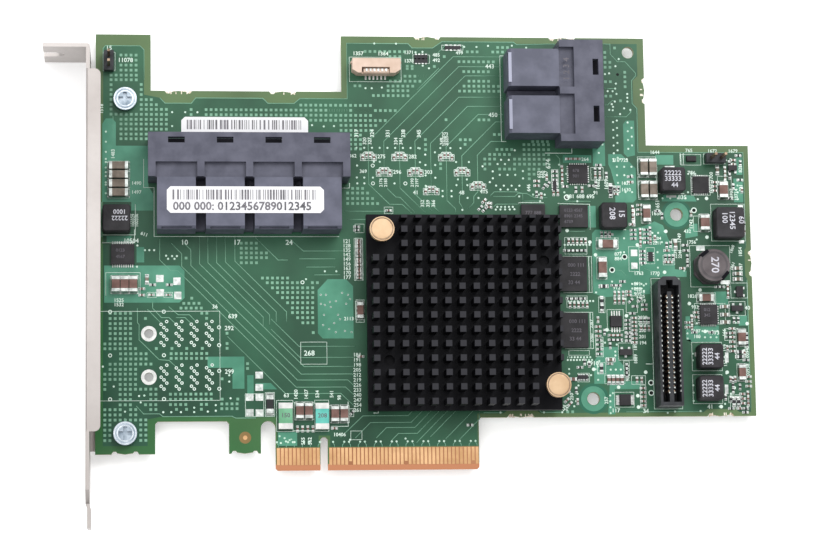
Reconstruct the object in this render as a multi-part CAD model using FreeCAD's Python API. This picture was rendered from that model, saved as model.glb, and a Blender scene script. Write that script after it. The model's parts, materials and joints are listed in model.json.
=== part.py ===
import FreeCAD, Part
import math
import os

from FreeCAD import Vector

# A storage controller card for a PCI Express slot, lying flat with its component side up.
#
# Everything is first placed in the card's own measuring frame: X runs from the bracket edge of the
# board towards its far end, Y from the tip of the edge connector towards the top of the card, and
# Z = 0 is the component side of the board. The last section moves it all to the stored frame, whose
# origin is the centre of the bounding box's bottom face.

# ------------------------------------------------------------------ driving dimensions, millimetres

# board: a half-length, full-height card with three notched corners, as a chain of widths and heights
board_thickness = 1.57
foot_one_width = 14.9              # the two feet beside the edge connector, their gap and slot
foot_gap_width = 18.39
foot_two_width = 7.94
foot_slot_width = 3.69
tongue_width = 51.3                # edge connector, eight lanes
middle_width = 44.69               # from the edge connector to the far end
far_end_width = 26.74
upper_left_width = 13.9            # the piece beside the bracket that keeps the full height
upper_offset = 17.5                # the upper piece starts this far beyond the tongue's start

foot_bottom = 4.34
foot_gap_height = 8.12
foot_gap_cut = 0.6                 # the gap's upper corners, cut at 45 degrees
lower_edge = 13.01                 # bottom edge of the far end
far_lower_height = 22.0            # the far end's lower and upper parts
far_upper_height = 48.01
step_rise = 13.61                  # from the far end's top edge to the lowered top edge
full_rise = 14.52                  # from there to the full height

# edge connector
tongue_corner = 0.5                # lower corners of the tongue, cut at 45 degrees
key_offset = 11.2                  # from the start of the tongue to its key notch
key_width = 1.9
key_depth = 8.3
bevel_height = 1.25
bevel_depth = 0.42
contact_pitch = 1.0
contact_width = 0.7
contact_edge = 0.65                # from the tongue's side to the first contact's centre
contacts_before_key = 11
contacts_after_key = 38
contact_bottom = 1.35
contact_top = 5.6
contact_short_bottom = 2.2         # presence-detect contacts mate last
short_contacts = (17, 31, 48)
contact_plating = 0.05

# break-off scars, where the panel's webs were snapped
scar_length = 6.9
scar_bite_width = 1.5              # the drilled bite at each end
scar_bite_depth = 0.7
scar_tooth_depth = 0.3
step_scars = (20.9, 47.4)          # along the lowered top edge
top_scars = (22.18, 57.18)         # along the upper piece, from its start
lower_scars = (-60.65, -9.15)      # along the far end's bottom edge, from the far edge
upper_end_scar = 13.85             # below the top edge
far_end_scar = 30.72               # below the far end's top edge

# bracket, folded from one sheet
sheet = 0.95
bracket_gap = 1.2                  # from the board's edge to the bracket's inner face
bracket_width = 18.42
bracket_rise = 14.4                # height of its upper edge over the board
bracket_top = 105.6
bracket_length = 120.02
bracket_shoulder = -5.2            # where the plate starts to narrow
bracket_neck = -8.4
bracket_tail_width = 10.19
bracket_jog = 0.35                 # the tail steps this far towards the card
tab_length = 11.7
notch_width = 4.42
notch_depth = 5.2
flange_width = 3.6
flange_start = 9.0
flange_end = 99.2
flange_corner = 1.5
bend_radius = 0.6                  # outer radius of the sheet's folds
ear_width = 8.4
ear_reach = 4.0                    # ear beyond the screw's centre
ear_cut = 1.2                      # its outer corners, cut at 45 degrees
ear_relief = 0.8

# bracket screws
screw_x = 7.45
screw_ys = (9.45, 94.2)
screw_diameter = 2.9
screw_clearance = 0.25             # around the shank in the board
thread_clearance = 0.03            # around the shank in the bracket's ear
screw_head_diameter = 5.9
screw_head_height = 2.0
screw_tip = 0.35                   # shank below the ear
recess_width = 0.95
recess_length = 3.3
recess_depth = 1.0

# processor package, thermal pad and pin-fin heatsink
package_x = 93.2
package_y = 39.75
package_size = 35.0
package_height = 2.4
lid_size = 27.0
lid_height = 0.5
pad_thickness = 0.3
fin_pitch = 3.6
fin_width = 1.55
fin_last_width = 0.8               # the last row and column are cut narrow
fin_count = 14
fin_start_x = 24.3                 # from the package's centre to the first pins
fin_start_y = 24.35
sink_margin = 1.0                  # of the base, beyond the pins
sink_far_margin = 0.35             # the same towards the far end
sink_base = 2.4
sink_height = 8.8                  # underside of the base to the tips of the pins
spot_diameter = 2.6                # two drilled spots that replace a pin
spot_depth = 1.2

# spring-loaded push pins
push_pin_reach_x = 21.9            # from the package's centre
push_pin_reach_y = 19.65
push_head_diameter = 6.2
push_head_height = 1.6
push_shaft_diameter = 2.6
push_hole_clearance = 0.2
push_head_drop = 0.2               # the head's top below the tips of the pins
barb_diameter = 3.6
barb_tip_diameter = 1.9
barb_height = 1.5
spring_diameter = 4.6
spring_wire = 0.5
spring_turns = 3
spring_chords = 8                  # straight chords that make one turn

# internal cable sockets with a housing, terminal modules and contacts
port_pitch = 12.15
port_margin = 7.05                 # from an end port's centre to the housing's end
housing_depth = 11.2
housing_height = 10.4
housing_panel_depth = 1.3
housing_panel_length = 3.7
housing_panel_width = 10.35
window_width = 4.15
window_length = 1.5
window_setback = 1.2
mouth_width = 9.6
mouth_height = 6.6
mouth_floor = 1.6
mouth_depth = 5.2
slot_height = 1.1
slot_width = 7.4
slot_depth = 4.0
slot_spacing = 2.6
module_width = 9.65
module_length = 13.0
module_height = 9.4
module_chamfer = 0.7
module_rib = 0.5
tail_rib_height = 3.2              # the housing's ribs between its terminal modules
tail_rib_clearance = 0.1
tail_rib_setback = 0.5             # its end, from the modules' end
socket_strip_width = 6.4           # a row of contacts in its slot
socket_strip_thickness = 0.2
socket_strip_length = 3.6
quad_first_port = 20.2
quad_setback = 12.58               # its mating edge, below the lowered top edge
quad_ports = 4
dual_drop = 21.95                  # its first port, below the top edge
dual_setback = 12.46               # its mating edge, from the upper piece's end
dual_ports = 2

# side-entry cable socket, from the upper piece's start and the top edge
cable_x = (2.58, 14.88)
cable_y = (-10.35, -6.55)
cable_height = 4.2
cable_step = 0.5
cable_slot_length = 7.15
cable_slot_width = 1.5
cable_slot_depth = 3.0
cable_slot_offset = 0.2            # from the housing's middle
cable_contacts = 6
cable_pitch = 1.0
cable_contact_width = 0.45
cable_tail = 1.0

# stacking connector for a daughterboard, from the far edge and the far end's bottom edge
stack_x = (-26.05, -20.15)
stack_y = (2.09, 34.89)
stack_height = 7.6
stack_wall = 0.6
stack_end_wall = 0.9
stack_key_length = 1.3             # the narrow keyway at the upper end
stack_key_width = 1.7
stack_cut = 1.3                    # the upper end's corners, cut at 45 degrees
stack_floor = 1.6
stack_tongue = 1.1
stack_tongue_drop = 0.6
stack_contacts = 20
stack_pitch = 1.27
stack_contact_width = 0.5
stack_contact_thickness = 0.25
stack_contact_shift = 0.6          # the columns' centre, below the connector's
stack_end_gap = 1.6                # between the tongue's upper end and the keyway

# two-pin jumper headers
header_pitch = 2.54
header_width = 2.5
header_height = 2.5
header_pin = 0.64
header_pin_rise = 8.4
header_pin_drop = 1.3              # below the board
header_pin_clearance = 0.12
jumper_x = 3.35
jumper_drop = 7.15                 # its centre, below the top edge
alarm_offset = (-8.9, -3.57)       # its centre, from the far end's upper corner

# chokes
choke_corner = 0.5
choke_edge = 0.25
drum_offset = (-10.95, -31.92)     # its centre, from the far end's upper corner
drum_diameter = 8.3
drum_height = 5.4
drum_base_height = 1.1
drum_base_size = 8.5
drum_base_cut = 2.3

# surface-mount parts
fuse_terminal = 1.45               # metal end of a fuse
fuse_terminal_lip = 0.04           # its plating is proud of the body
lead_thickness = 0.2
lead_width = 0.3

# adhesive labels
label_thickness = 0.12
label_corner = 0.9                 # cut at 45 degrees
label_large = (-2.4, -20.35, 36.8, -13.65)   # from the quad socket's first port and mating edge
label_small = (1.4, 0.35, 33.6, 5.85)

# holes in the board
plated_holes = ((13.35, 34.55), (13.35, 23.6))
plated_hole_diameter = 2.3
standoff_upper = (-19.25, -18.02)  # from the far end's upper corner
standoff_lower = (-41.95, 4.59)    # from the far end's lower corner
standoff_hole_diameter = 3.2
tooling_offset = (-4.11, -3.75)    # from the upper piece's far corner
tooling_hole_diameter = 3.0

# Parts on the board, by the corner they are placed from: "board" is the lower left corner of the
# measuring frame, "tongue" the edge connector's start, "top" the top edge, "far_upper" and
# "far_lower" the corners of the far end. Each row starts with the X and Y of the part's centre.

tan_capacitors = {                 # width, length, height, upright
    "board": (
        (5.8, 70.25, 1.85, 4.7, 1.9, False), (5.8, 72.55, 1.85, 4.7, 1.9, False),
        (5.8, 74.85, 1.85, 4.7, 1.9, False), (5.8, 77.15, 1.85, 4.7, 1.9, False),
    ),
    "far_upper": (
        (-27.65, -11.72, 1.85, 4.1, 1.9, True), (-27.65, -5.92, 1.85, 4.1, 1.9, True),
        (-25.35, -11.72, 1.85, 4.1, 1.9, True), (-25.35, -5.92, 1.85, 4.1, 1.9, True),
    ),
}
brown_capacitors = {
    "board": (
        (5.1, 47.0, 2.0, 3.8, 1.7, True), (7.3, 47.0, 2.0, 3.8, 1.7, True),
        (9.5, 47.0, 2.0, 3.8, 1.7, True), (66.5, 40.3, 1.5, 4.0, 1.2, True),
        (130.1, 57.2, 2.0, 4.7, 1.6, False), (128.65, 51.1, 2.0, 4.9, 1.6, True),
    ),
    "tongue": (
        (6.08, 14.9, 1.9, 3.7, 1.6, True), (8.33, 14.9, 1.9, 3.7, 1.6, True),
        (14.93, 14.1, 1.9, 3.7, 1.6, True), (17.23, 14.1, 1.9, 3.7, 1.6, True),
    ),
    "far_upper": (
        (-27.2, -17.92, 1.8, 4.1, 1.5, True), (-6.95, -11.72, 2.1, 3.9, 1.5, True),
        (-12.05, -20.22, 2.2, 3.8, 1.5, True), (-12.25, -39.72, 1.7, 3.7, 1.3, False),
    ),
    "far_lower": ((-3.35, 20.09, 1.9, 3.8, 1.4, True), (-3.5, 11.09, 1.7, 3.7, 1.4, True)),
}
fuse_places = {                    # width, length, height
    "fuse_green": (2.48, 13.6, 3.5, 6.6, 1.4),
    "fuse_teal": (11.68, 13.5, 3.4, 6.6, 1.4),
}
array_places = {                   # width along X, depth along Y, height
    "board": ((123.0, 23.1, 2.6, 1.0, 0.45), (116.9, 72.3, 0.9, 2.4, 0.45)),
    "top": ((82.95, -5.25, 3.4, 0.9, 0.45), (82.95, -6.45, 3.4, 0.9, 0.45),
            (91.2, -2.85, 4.0, 0.9, 0.45)),
    "far_lower": ((-26.35, 40.99, 1.2, 2.4, 0.45),),
}
small_chip_length = 1.0
small_chip_width = 0.5
small_chip_height = 0.4
small_capacitor_rows = {           # step in X and in Y, the row's length, upright
    "board": ((66.4, 58.2, 0, -0.8, 9.6, False),),
}
small_resistor_rows = {
    "board": ((131.4, 71.6, 1.0, 0, 2.0, True),),
    "far_lower": ((-6.45, 4.19, 1.2, 0, 2.4, True),),
}
coupling_clusters = (              # capacitor clusters between the sockets and the processor
    (69.1, 80.1), (73.1, 76.1), (77.1, 80.1), (81.1, 76.1),
    (85.1, 71.3), (89.1, 80.1), (93.1, 76.2), (97.1, 72.5),
)
cluster_pair = (0.45, 0.1)         # the middle pair and the outer pair, from a cluster's centre
cluster_flank = (1.45, -0.5)
choke_places = {                   # anchor, X, Y, width, depth, height
    "choke_bracket_side": ("board", 5.3, 63.3, 7.0, 6.8, 4.5),
    "choke_middle": ("board", 131.55, 64.2, 6.7, 6.6, 4.0),
    "choke_upper": ("far_upper", -20.65, -9.57, 6.2, 6.2, 4.8),
    "choke_large": ("far_upper", -6.15, -20.72, 7.4, 7.9, 4.5),
    "choke_lower_one": ("far_lower", -12.15, 14.94, 6.2, 6.2, 4.8),
    "choke_lower_two": ("far_lower", -12.35, 6.84, 6.2, 6.2, 4.8),
}
chip_places = {                    # anchor, X, Y, width, depth, height
    "memory_chips": (("board", 118.15, 49.5, 12.9, 8.9, 1.1),
                     ("board", 118.15, 35.05, 12.9, 8.9, 1.1)),
    "flash_chip": (("board", 121.55, 64.4, 7.3, 5.7, 1.0),),
    "buffer_chip": (("board", 111.1, 63.6, 6.1, 7.7, 1.0),),
    "regulator_bracket_side": (("board", 6.85, 54.6, 5.8, 5.1, 0.9),),
    "regulator_upper": (("far_upper", -12.75, -10.32, 4.1, 4.3, 0.85),),
    "logic_chip": (("top", 123.0, -35.75, 4.9, 4.8, 0.85),),
    "power_controller": (("far_upper", -11.75, -44.02, 4.4, 5.0, 1.2),),
}
leaded_places = {                  # width, depth, height, lead pitch, length of the row, foot
    "driver_chip": (131.85, 37.3, 3.1, 2.9, 1.1, 0.65, 1.95, 1.3),
    "clock_chip": (133.75, 17.2, 2.9, 2.9, 1.0, 0.5, 2.0, 0.9),
}
turned_packages = ("clock_chip",)  # turned a quarter, with their leads
package_lift = 0.1
package_draft = 0.12
transistor_places = {              # width, depth, height
    "board": ((134.2, 29.4, 3.2, 1.5, 1.0),),
    "far_upper": ((-3.5, -38.12, 1.7, 2.7, 1.0), (-4.25, -42.42, 3.0, 1.4, 1.0),
                  (-4.35, -5.92, 2.2, 1.3, 1.0)),
}
diode_offset = (-15.05, -3.52)     # from the far end's upper corner
diode_width = 2.6
diode_depth = 1.5
diode_height = 1.0

# ------------------------------------------------------------------ places that follow from these

foot_gap_start = foot_one_width
foot_gap_end = foot_gap_start + foot_gap_width
foot_slot_start = foot_gap_end + foot_two_width
foot_gap_top = foot_bottom + foot_gap_height
tongue_start = foot_slot_start + foot_slot_width
tongue_end = tongue_start + tongue_width
upper_start = tongue_start + upper_offset
upper_end = tongue_end + middle_width
board_length = upper_end + far_end_width
shoulder_height = lower_edge + far_lower_height + far_upper_height
step_height = shoulder_height + step_rise
board_height = step_height + full_rise
board_back = -board_thickness
anchors = {
    "board": (0, 0),
    "tongue": (tongue_start, 0),
    "top": (0, board_height),
    "far_upper": (board_length, shoulder_height),
    "far_lower": (board_length, lower_edge),
}
quad_mating_edge = step_height - quad_setback
dual_mating_edge = upper_end - dual_setback
dual_first_port = board_height - dual_drop
jumper_centre = (jumper_x, board_height - jumper_drop)
alarm_centre = (board_length + alarm_offset[0], shoulder_height + alarm_offset[1])
bracket_inner = -bracket_gap
bracket_outer = bracket_inner - sheet
bracket_bottom = bracket_top - bracket_length
bracket_fall = bracket_rise - bracket_width
bracket_middle = (bracket_rise + bracket_fall) / 2
package_top = package_height + lid_height
sink_bottom = package_top + pad_thickness
sink_floor = sink_bottom + sink_base
sink_top = sink_bottom + sink_height
fins_x = package_x - fin_start_x
fins_y = package_y - fin_start_y
fins_size = (fin_count - 1) * fin_pitch + fin_last_width
push_pins = (
    (package_x - push_pin_reach_x, package_y + push_pin_reach_y),
    (package_x + push_pin_reach_x, package_y - push_pin_reach_y),
)
push_shaft_hole = push_shaft_diameter + 2 * push_hole_clearance
screw_hole = screw_diameter + 2 * screw_clearance
thread_hole = screw_diameter + 2 * thread_clearance
header_hole = header_pin + 2 * header_pin_clearance

stored_origin = Vector(
    (bracket_outer - tab_length + sheet + board_length) / 2,
    (bracket_bottom + board_height) / 2,
    bracket_fall,
)


# ------------------------------------------------------------------ small helpers

def block(x0, y0, z0, x1, y1, z1):
    """A rectangular block between two corners."""
    return Part.makeBox(x1 - x0, y1 - y0, z1 - z0, Vector(x0, y0, z0))


def centred(x, y, z0, width, depth, height):
    """A block centred on (x, y) that stands on z0."""
    return block(x - width / 2, y - depth / 2, z0, x + width / 2, y + depth / 2, z0 + height)


def rod(x, y, z0, z1, diameter):
    """An upright cylinder."""
    return Part.makeCylinder(diameter / 2, z1 - z0, Vector(x, y, z0))


def outline(corners):
    """A closed wire through (x, y, radius) corners; a radius above zero rounds its corner."""
    count = len(corners)
    trimmed = []
    for i, (x, y, radius) in enumerate(corners):
        here = Vector(x, y, 0)
        before = (Vector(*corners[i - 1][:2], 0) - here).normalize()
        after = (Vector(*corners[(i + 1) % count][:2], 0) - here).normalize()
        half = before.getAngle(after) / 2
        reach = radius / math.tan(half)
        nearest = radius / math.sin(half) - radius
        middle = here + (before + after).normalize() * nearest if radius else here
        trimmed.append((here + before * reach, middle, here + after * reach, radius))
    edges = []
    for i, (start, middle, end, radius) in enumerate(trimmed):
        if radius:
            edges.append(Part.Arc(start, middle, end).toShape())
        following = trimmed[(i + 1) % count][0]
        if end.distanceToPoint(following) > 1e-6:
            edges.append(Part.makeLine(end, following))
    return Part.Wire(edges)


def slab(corners, z0, z1):
    """A flat plate with the given rounded outline."""
    plate = Part.Face(outline(corners)).extrude(Vector(0, 0, z1 - z0))
    plate.translate(Vector(0, 0, z0))
    return plate


def cornered(x0, y0, x1, y1, cut, z0, z1):
    """A rectangular plate whose corners are cut at 45 degrees."""
    return slab([
        (x0, y0 + cut, 0), (x0 + cut, y0, 0), (x1 - cut, y0, 0), (x1, y0 + cut, 0),
        (x1, y1 - cut, 0), (x1 - cut, y1, 0), (x0 + cut, y1, 0), (x0, y1 - cut, 0),
    ], z0, z1)


def octagon(x, y, z0, z1, across_flats):
    """An upright eight-sided rod, for shanks and the holes that they pass through."""
    corner = across_flats / 2 / math.cos(math.pi / 8)
    angles = [math.pi / 8 + i * math.pi / 4 for i in range(9)]
    wire = Part.makePolygon([Vector(x + corner * math.cos(a), y + corner * math.sin(a), z0)
                             for a in angles])
    return Part.Face(wire).extrude(Vector(0, 0, z1 - z0))


def turned(shape, x, y, degrees):
    """The shape, turned about the upright line through (x, y)."""
    shape.rotate(Vector(x, y, 0), Vector(0, 0, 1), degrees)
    return shape


def profile_along_x(points, x0, x1):
    """A (y, z) profile extruded from x0 to x1."""
    corners = [Vector(x0, y, z) for y, z in points]
    return Part.Face(Part.makePolygon(corners + corners[:1])).extrude(Vector(x1 - x0, 0, 0))


def from_anchor(anchor, x, y, *rest):
    """A part's place in the card's frame, followed by its other values."""
    return (anchors[anchor][0] + x, anchors[anchor][1] + y, *rest)


def placed(table):
    """Every row of a table, each moved from its anchor to the card's frame."""
    return [from_anchor(anchor, *row) for anchor, rows in table.items() for row in rows]


def save(name, solids):
    """Write one node, moved to the stored frame."""
    shape = Part.makeCompound(solids) if isinstance(solids, list) else solids
    shape.translate(stored_origin.negative())
    shape.exportStep(os.path.join("parts", name + ".step"))


# ------------------------------------------------------------------ circuit board

def break_off_scar(x, y, degrees):
    """What a snapped panel web leaves in an edge: a drilled bite at each end, a ragged middle."""
    half = scar_length / 2
    inner = half - scar_bite_width
    profile = [
        (-half, 0), (-half + scar_bite_width * 0.3, -scar_bite_depth),
        (-half + scar_bite_width * 0.8, -scar_bite_depth), (-inner, -scar_tooth_depth),
        (0, 0), (inner, -scar_tooth_depth),
        (half - scar_bite_width * 0.8, -scar_bite_depth),
        (half - scar_bite_width * 0.3, -scar_bite_depth), (half, 0), (half, 1), (-half, 1),
    ]
    tool = slab([(x + a, y + b, 0) for a, b in profile], board_back - 1, 1)
    return turned(tool, x, y, degrees)


def scar_places():
    """Centre and direction of every scar; 0 is a top edge, 180 a bottom edge, 270 a right edge."""
    places = [(x, step_height, 0) for x in step_scars]
    places += [(upper_start + x, board_height, 0) for x in top_scars]
    places += [(board_length + x, lower_edge, 180) for x in lower_scars]
    places += [(upper_end, board_height - upper_end_scar, 270)]
    places += [(board_length, shoulder_height - far_end_scar, 270)]
    places += [(foot_one_width / 2, foot_bottom, 180)]
    places += [((foot_gap_end + foot_slot_start) / 2, foot_bottom, 180)]
    return places


def board_corners():
    """The board's outline as (x, y, radius) corners, anticlockwise from the lower left."""
    slot_radius = foot_slot_width / 2 - 0.01
    return [
        (0, foot_bottom, 0),
        (foot_gap_start, foot_bottom, 0),
        (foot_gap_start, foot_gap_top - foot_gap_cut, 0),
        (foot_gap_start + foot_gap_cut, foot_gap_top, 0),
        (foot_gap_end - foot_gap_cut, foot_gap_top, 0),
        (foot_gap_end, foot_gap_top - foot_gap_cut, 0),
        (foot_gap_end, foot_bottom, 0),
        (foot_slot_start, foot_bottom, 0),
        (foot_slot_start, foot_gap_top, slot_radius),
        (tongue_start, foot_gap_top, slot_radius),
        (tongue_start, tongue_corner, 0),
        (tongue_start + tongue_corner, 0, 0),
        (tongue_end - tongue_corner, 0, 0),
        (tongue_end, tongue_corner, 0),
        (tongue_end, lower_edge - foot_gap_cut, 0),
        (tongue_end + foot_gap_cut, lower_edge, 0),
        (board_length, lower_edge, 0),
        (board_length, shoulder_height, 0),
        (upper_end, shoulder_height, 0),
        (upper_end, board_height, 0),
        (upper_start, board_height, 0),
        (upper_start, step_height, 0),
        (upper_left_width, step_height, 0),
        (upper_left_width, board_height, 0),
        (0, board_height, 0),
    ]


def key_notch():
    """The notch between two groups of contacts, narrowed at its top."""
    x0 = tongue_start + key_offset
    x1 = x0 + key_width
    cut = key_width * 0.3
    return slab([(x0, -1, 0), (x1, -1, 0), (x1, key_depth - cut, 0), (x1 - cut, key_depth, 0),
                 (x0 + cut, key_depth, 0), (x0, key_depth - cut, 0)], board_back - 1, 1)


def tongue_bevels():
    """The wedges cut from both faces along the tongue's tip."""
    wedges = []
    for face, inward in ((0, -1), (board_back, 1)):
        points = [(-0.1, face - inward), (-0.1, face + inward * bevel_depth), (bevel_height, face),
                  (bevel_height, face - inward)]
        wedges.append(profile_along_x(points, tongue_start - 1, tongue_end + 1))
    return wedges


def board_holes():
    """Open round holes, and the holes that screws, push pins and header pins fill."""
    low = board_back - 1
    round_holes = [(x, y, plated_hole_diameter) for x, y in plated_holes]
    round_holes += [(*from_anchor("far_upper", *standoff_upper), standoff_hole_diameter)]
    round_holes += [(*from_anchor("far_lower", *standoff_lower), standoff_hole_diameter)]
    round_holes += [(upper_end + tooling_offset[0], board_height + tooling_offset[1],
                     tooling_hole_diameter)]
    holes = [rod(x, y, low, 1, diameter) for x, y, diameter in round_holes]
    holes += [octagon(screw_x, y, low, 1, screw_hole) for y in screw_ys]
    holes += [octagon(x, y, low, 1, push_shaft_hole) for x, y in push_pins]
    height = 1 - low
    holes += [centred(x, y, low, header_hole, header_hole, height) for x, y in header_pin_places()]
    return holes


def circuit_board():
    tools = [key_notch()] + tongue_bevels() + board_holes()
    tools += [break_off_scar(*place) for place in scar_places()]
    return slab(board_corners(), board_back, 0).cut(tools)


def edge_contacts(top):
    """The gold contacts of one face; top is the face's outer surface with the plating."""
    contacts = []
    key_side = tongue_start + key_offset + key_width + contact_edge
    for number in range(1, contacts_before_key + contacts_after_key + 1):
        if number <= contacts_before_key:
            x = tongue_start + contact_edge + (number - 1) * contact_pitch
        else:
            x = key_side + (number - contacts_before_key - 1) * contact_pitch
        bottom = contact_short_bottom if number in short_contacts else contact_bottom
        contacts.append(block(x - contact_width / 2, bottom, top - contact_plating,
                              x + contact_width / 2, contact_top, top))
    return contacts


# ------------------------------------------------------------------ bracket and its screws

def bracket_plate():
    """The long plate with its tapered tail, and the tab folded away from the card at its top."""
    tail = bracket_tail_width / 2
    points = [
        (bracket_top, bracket_fall), (bracket_top, bracket_rise),
        (bracket_shoulder, bracket_rise), (bracket_neck, bracket_middle + tail),
        (bracket_neck, bracket_middle - tail), (bracket_shoulder, bracket_fall),
    ]
    plate = profile_along_x(points, bracket_outer, bracket_inner)
    tail_step = 1.2
    side = [
        (bracket_outer, bracket_neck), (bracket_outer + bracket_jog, bracket_neck - tail_step),
        (bracket_outer + bracket_jog, bracket_bottom), (bracket_inner + bracket_jog, bracket_bottom),
        (bracket_inner + bracket_jog, bracket_neck - tail_step), (bracket_inner, bracket_neck),
    ]
    tail_part = slab([(x, y, 0) for x, y in side], bracket_middle - tail, bracket_middle + tail)
    tab_end = bracket_outer + sheet - tab_length
    tab = block(tab_end, bracket_top - sheet, bracket_fall, bracket_outer, bracket_top, bracket_rise)
    notch = block(tab_end - 1, bracket_top - 2 * sheet, bracket_middle - notch_width / 2,
                  tab_end + notch_depth - notch_width / 2, bracket_top + 1,
                  bracket_middle + notch_width / 2)
    notch_end = Part.makeCylinder(notch_width / 2, 3 * sheet,
                                  Vector(tab_end + notch_depth - notch_width / 2,
                                         bracket_top - 2 * sheet, bracket_middle), Vector(0, 1, 0))
    return plate.fuse([tail_part, tab]).cut([notch, notch_end])


def bracket_flange():
    """The stiffening flange folded towards the card along the upper edge."""
    end = bracket_outer + flange_width
    return slab([(bracket_outer, flange_start, 0), (end, flange_start, flange_corner),
                 (end, flange_end, flange_corner), (bracket_outer, flange_end, 0)],
                bracket_rise - sheet, bracket_rise)


def bracket_ear(y):
    """A threaded ear folded behind the board, with the relief that frees it from the plate."""
    end = screw_x + ear_reach
    half = ear_width / 2
    ear = slab([(bracket_outer, y - half, 0), (end - ear_cut, y - half, 0),
                (end, y - half + ear_cut, 0), (end, y + half - ear_cut, 0),
                (end - ear_cut, y + half, 0), (bracket_outer, y + half, 0)],
               board_back - sheet, board_back)
    hole = octagon(screw_x, y, board_back - 2 * sheet, 1, thread_hole)
    relief = block(bracket_outer - 1, y - half - ear_relief, bracket_fall - 1,
                   bracket_inner + 0.001, y + half + ear_relief, board_back - sheet)
    return ear, hole, relief


def fold_corners():
    """What the two folds leave out of the sheet's outer corners: the flange's and the tab's."""
    length = flange_end - flange_start
    x = bracket_outer + bend_radius
    z = bracket_rise - bend_radius
    flange_corner_block = block(bracket_outer - 1, flange_start, z, x, flange_end, bracket_rise + 1)
    flange_round = Part.makeCylinder(bend_radius, length, Vector(x, flange_start, z), Vector(0, 1, 0))
    x = bracket_inner - bend_radius
    y = bracket_top - bend_radius
    tab_corner_block = block(x, y, bracket_fall - 1, bracket_inner + 1, bracket_top + 1,
                             bracket_rise + 1)
    tab_round = Part.makeCylinder(bend_radius, bracket_width + 2, Vector(x, y, bracket_fall - 1))
    return [flange_corner_block.cut(flange_round), tab_corner_block.cut(tab_round)]


def bracket():
    ears = [bracket_ear(y) for y in screw_ys]
    sheet_metal = bracket_plate().cut([relief for _, _, relief in ears])
    sheet_metal = sheet_metal.fuse([bracket_flange()] + [ear for ear, _, _ in ears])
    return sheet_metal.cut([hole for _, hole, _ in ears] + fold_corners()).removeSplitter()


def bracket_screw(y):
    """A screw with a cross recess, its shank through the board into the bracket's ear."""
    head = rod(screw_x, y, 0, screw_head_height, screw_head_diameter)
    shank = octagon(screw_x, y, board_back - sheet - screw_tip, 0, screw_diameter)
    recess_floor = screw_head_height - recess_depth
    recess = [centred(screw_x, y, recess_floor, width, length, recess_depth + 1)
              for width, length in ((recess_width, recess_length), (recess_length, recess_width))]
    return head.fuse(shank).cut(recess)


# ------------------------------------------------------------------ processor and its cooling

def controller_package():
    """A flip-chip package: a laminate with the raised lid that the heatsink presses on."""
    laminate = centred(package_x, package_y, 0, package_size, package_size, package_height)
    lid = centred(package_x, package_y, package_height, lid_size, lid_size, lid_height)
    return laminate.fuse(lid)


def thermal_pad():
    return centred(package_x, package_y, package_top, lid_size - 2, lid_size - 2, pad_thickness)


def fin_is_left_out(column, row):
    """The pins cut away for the push pins, and the two spots drilled instead."""
    at_upper_pin = column < 2 and row >= fin_count - 3
    at_lower_pin = column >= fin_count - 2 and row < 3
    return at_upper_pin or at_lower_pin or (column, row) in drilled_spots()


def drilled_spots():
    return ((1, 3), (fin_count - 2, fin_count - 4))


def heatsink():
    """A square base with a grid of square pins, the last row and column cut narrow."""
    base = block(fins_x - sink_margin, fins_y - sink_margin, sink_bottom,
                 fins_x + fins_size + sink_far_margin, fins_y + fins_size + sink_margin, sink_floor)
    pins = []
    for column in range(fin_count):
        for row in range(fin_count):
            if fin_is_left_out(column, row):
                continue
            x = fins_x + column * fin_pitch
            y = fins_y + row * fin_pitch
            width = fin_last_width if column == fin_count - 1 else fin_width
            depth = fin_last_width if row == fin_count - 1 else fin_width
            pins.append(block(x, y, sink_floor, x + width, y + depth, sink_top))
    holes = [octagon(x, y, sink_bottom - 1, sink_floor + 1, push_shaft_hole) for x, y in push_pins]
    for column, row in drilled_spots():
        holes.append(octagon(fins_x + column * fin_pitch + fin_width / 2,
                             fins_y + row * fin_pitch + fin_width / 2,
                             sink_floor - spot_depth, sink_floor + 1, spot_diameter))
    return base.cut(holes).fuse(pins).removeSplitter()


def push_pin(x, y):
    """A brass pin: head, shaft, and a barb that snaps through the board."""
    top = sink_top - push_head_drop
    head = rod(x, y, top - push_head_height, top, push_head_diameter)
    shaft = octagon(x, y, board_back, top - push_head_height, push_shaft_diameter)
    barb = octagon(x, y, board_back - barb_height / 2, board_back, barb_diameter)
    tip = octagon(x, y, board_back - barb_height, board_back, barb_tip_diameter)
    return head.fuse([shaft, barb, tip])


def push_pin_spring(x, y):
    """A compression spring between the heatsink's base and the push pin's head."""
    half = spring_wire / 2
    low = sink_floor + half
    high = sink_top - push_head_drop - push_head_height - half
    radius = spring_diameter / 2
    count = spring_turns * spring_chords
    path = []
    for number in range(count + 1):
        angle = 2 * math.pi * number / spring_chords
        height = low + (high - low) * number / count
        path.append(Vector(x + radius * math.cos(angle), y + radius * math.sin(angle), height))
    section = Part.makePolygon([Vector(x + radius + a * half, y, low + b * half)
                                for a, b in ((-1, 0), (0, -1), (1, 0), (0, 1), (-1, 0))])
    return Part.Wire(Part.makePolygon(path)).makePipeShell([section], True, False, 1)


# ------------------------------------------------------------------ internal cable sockets
# Each is modelled with its mating face towards +Y and its first port at x = 0, then placed.

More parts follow.
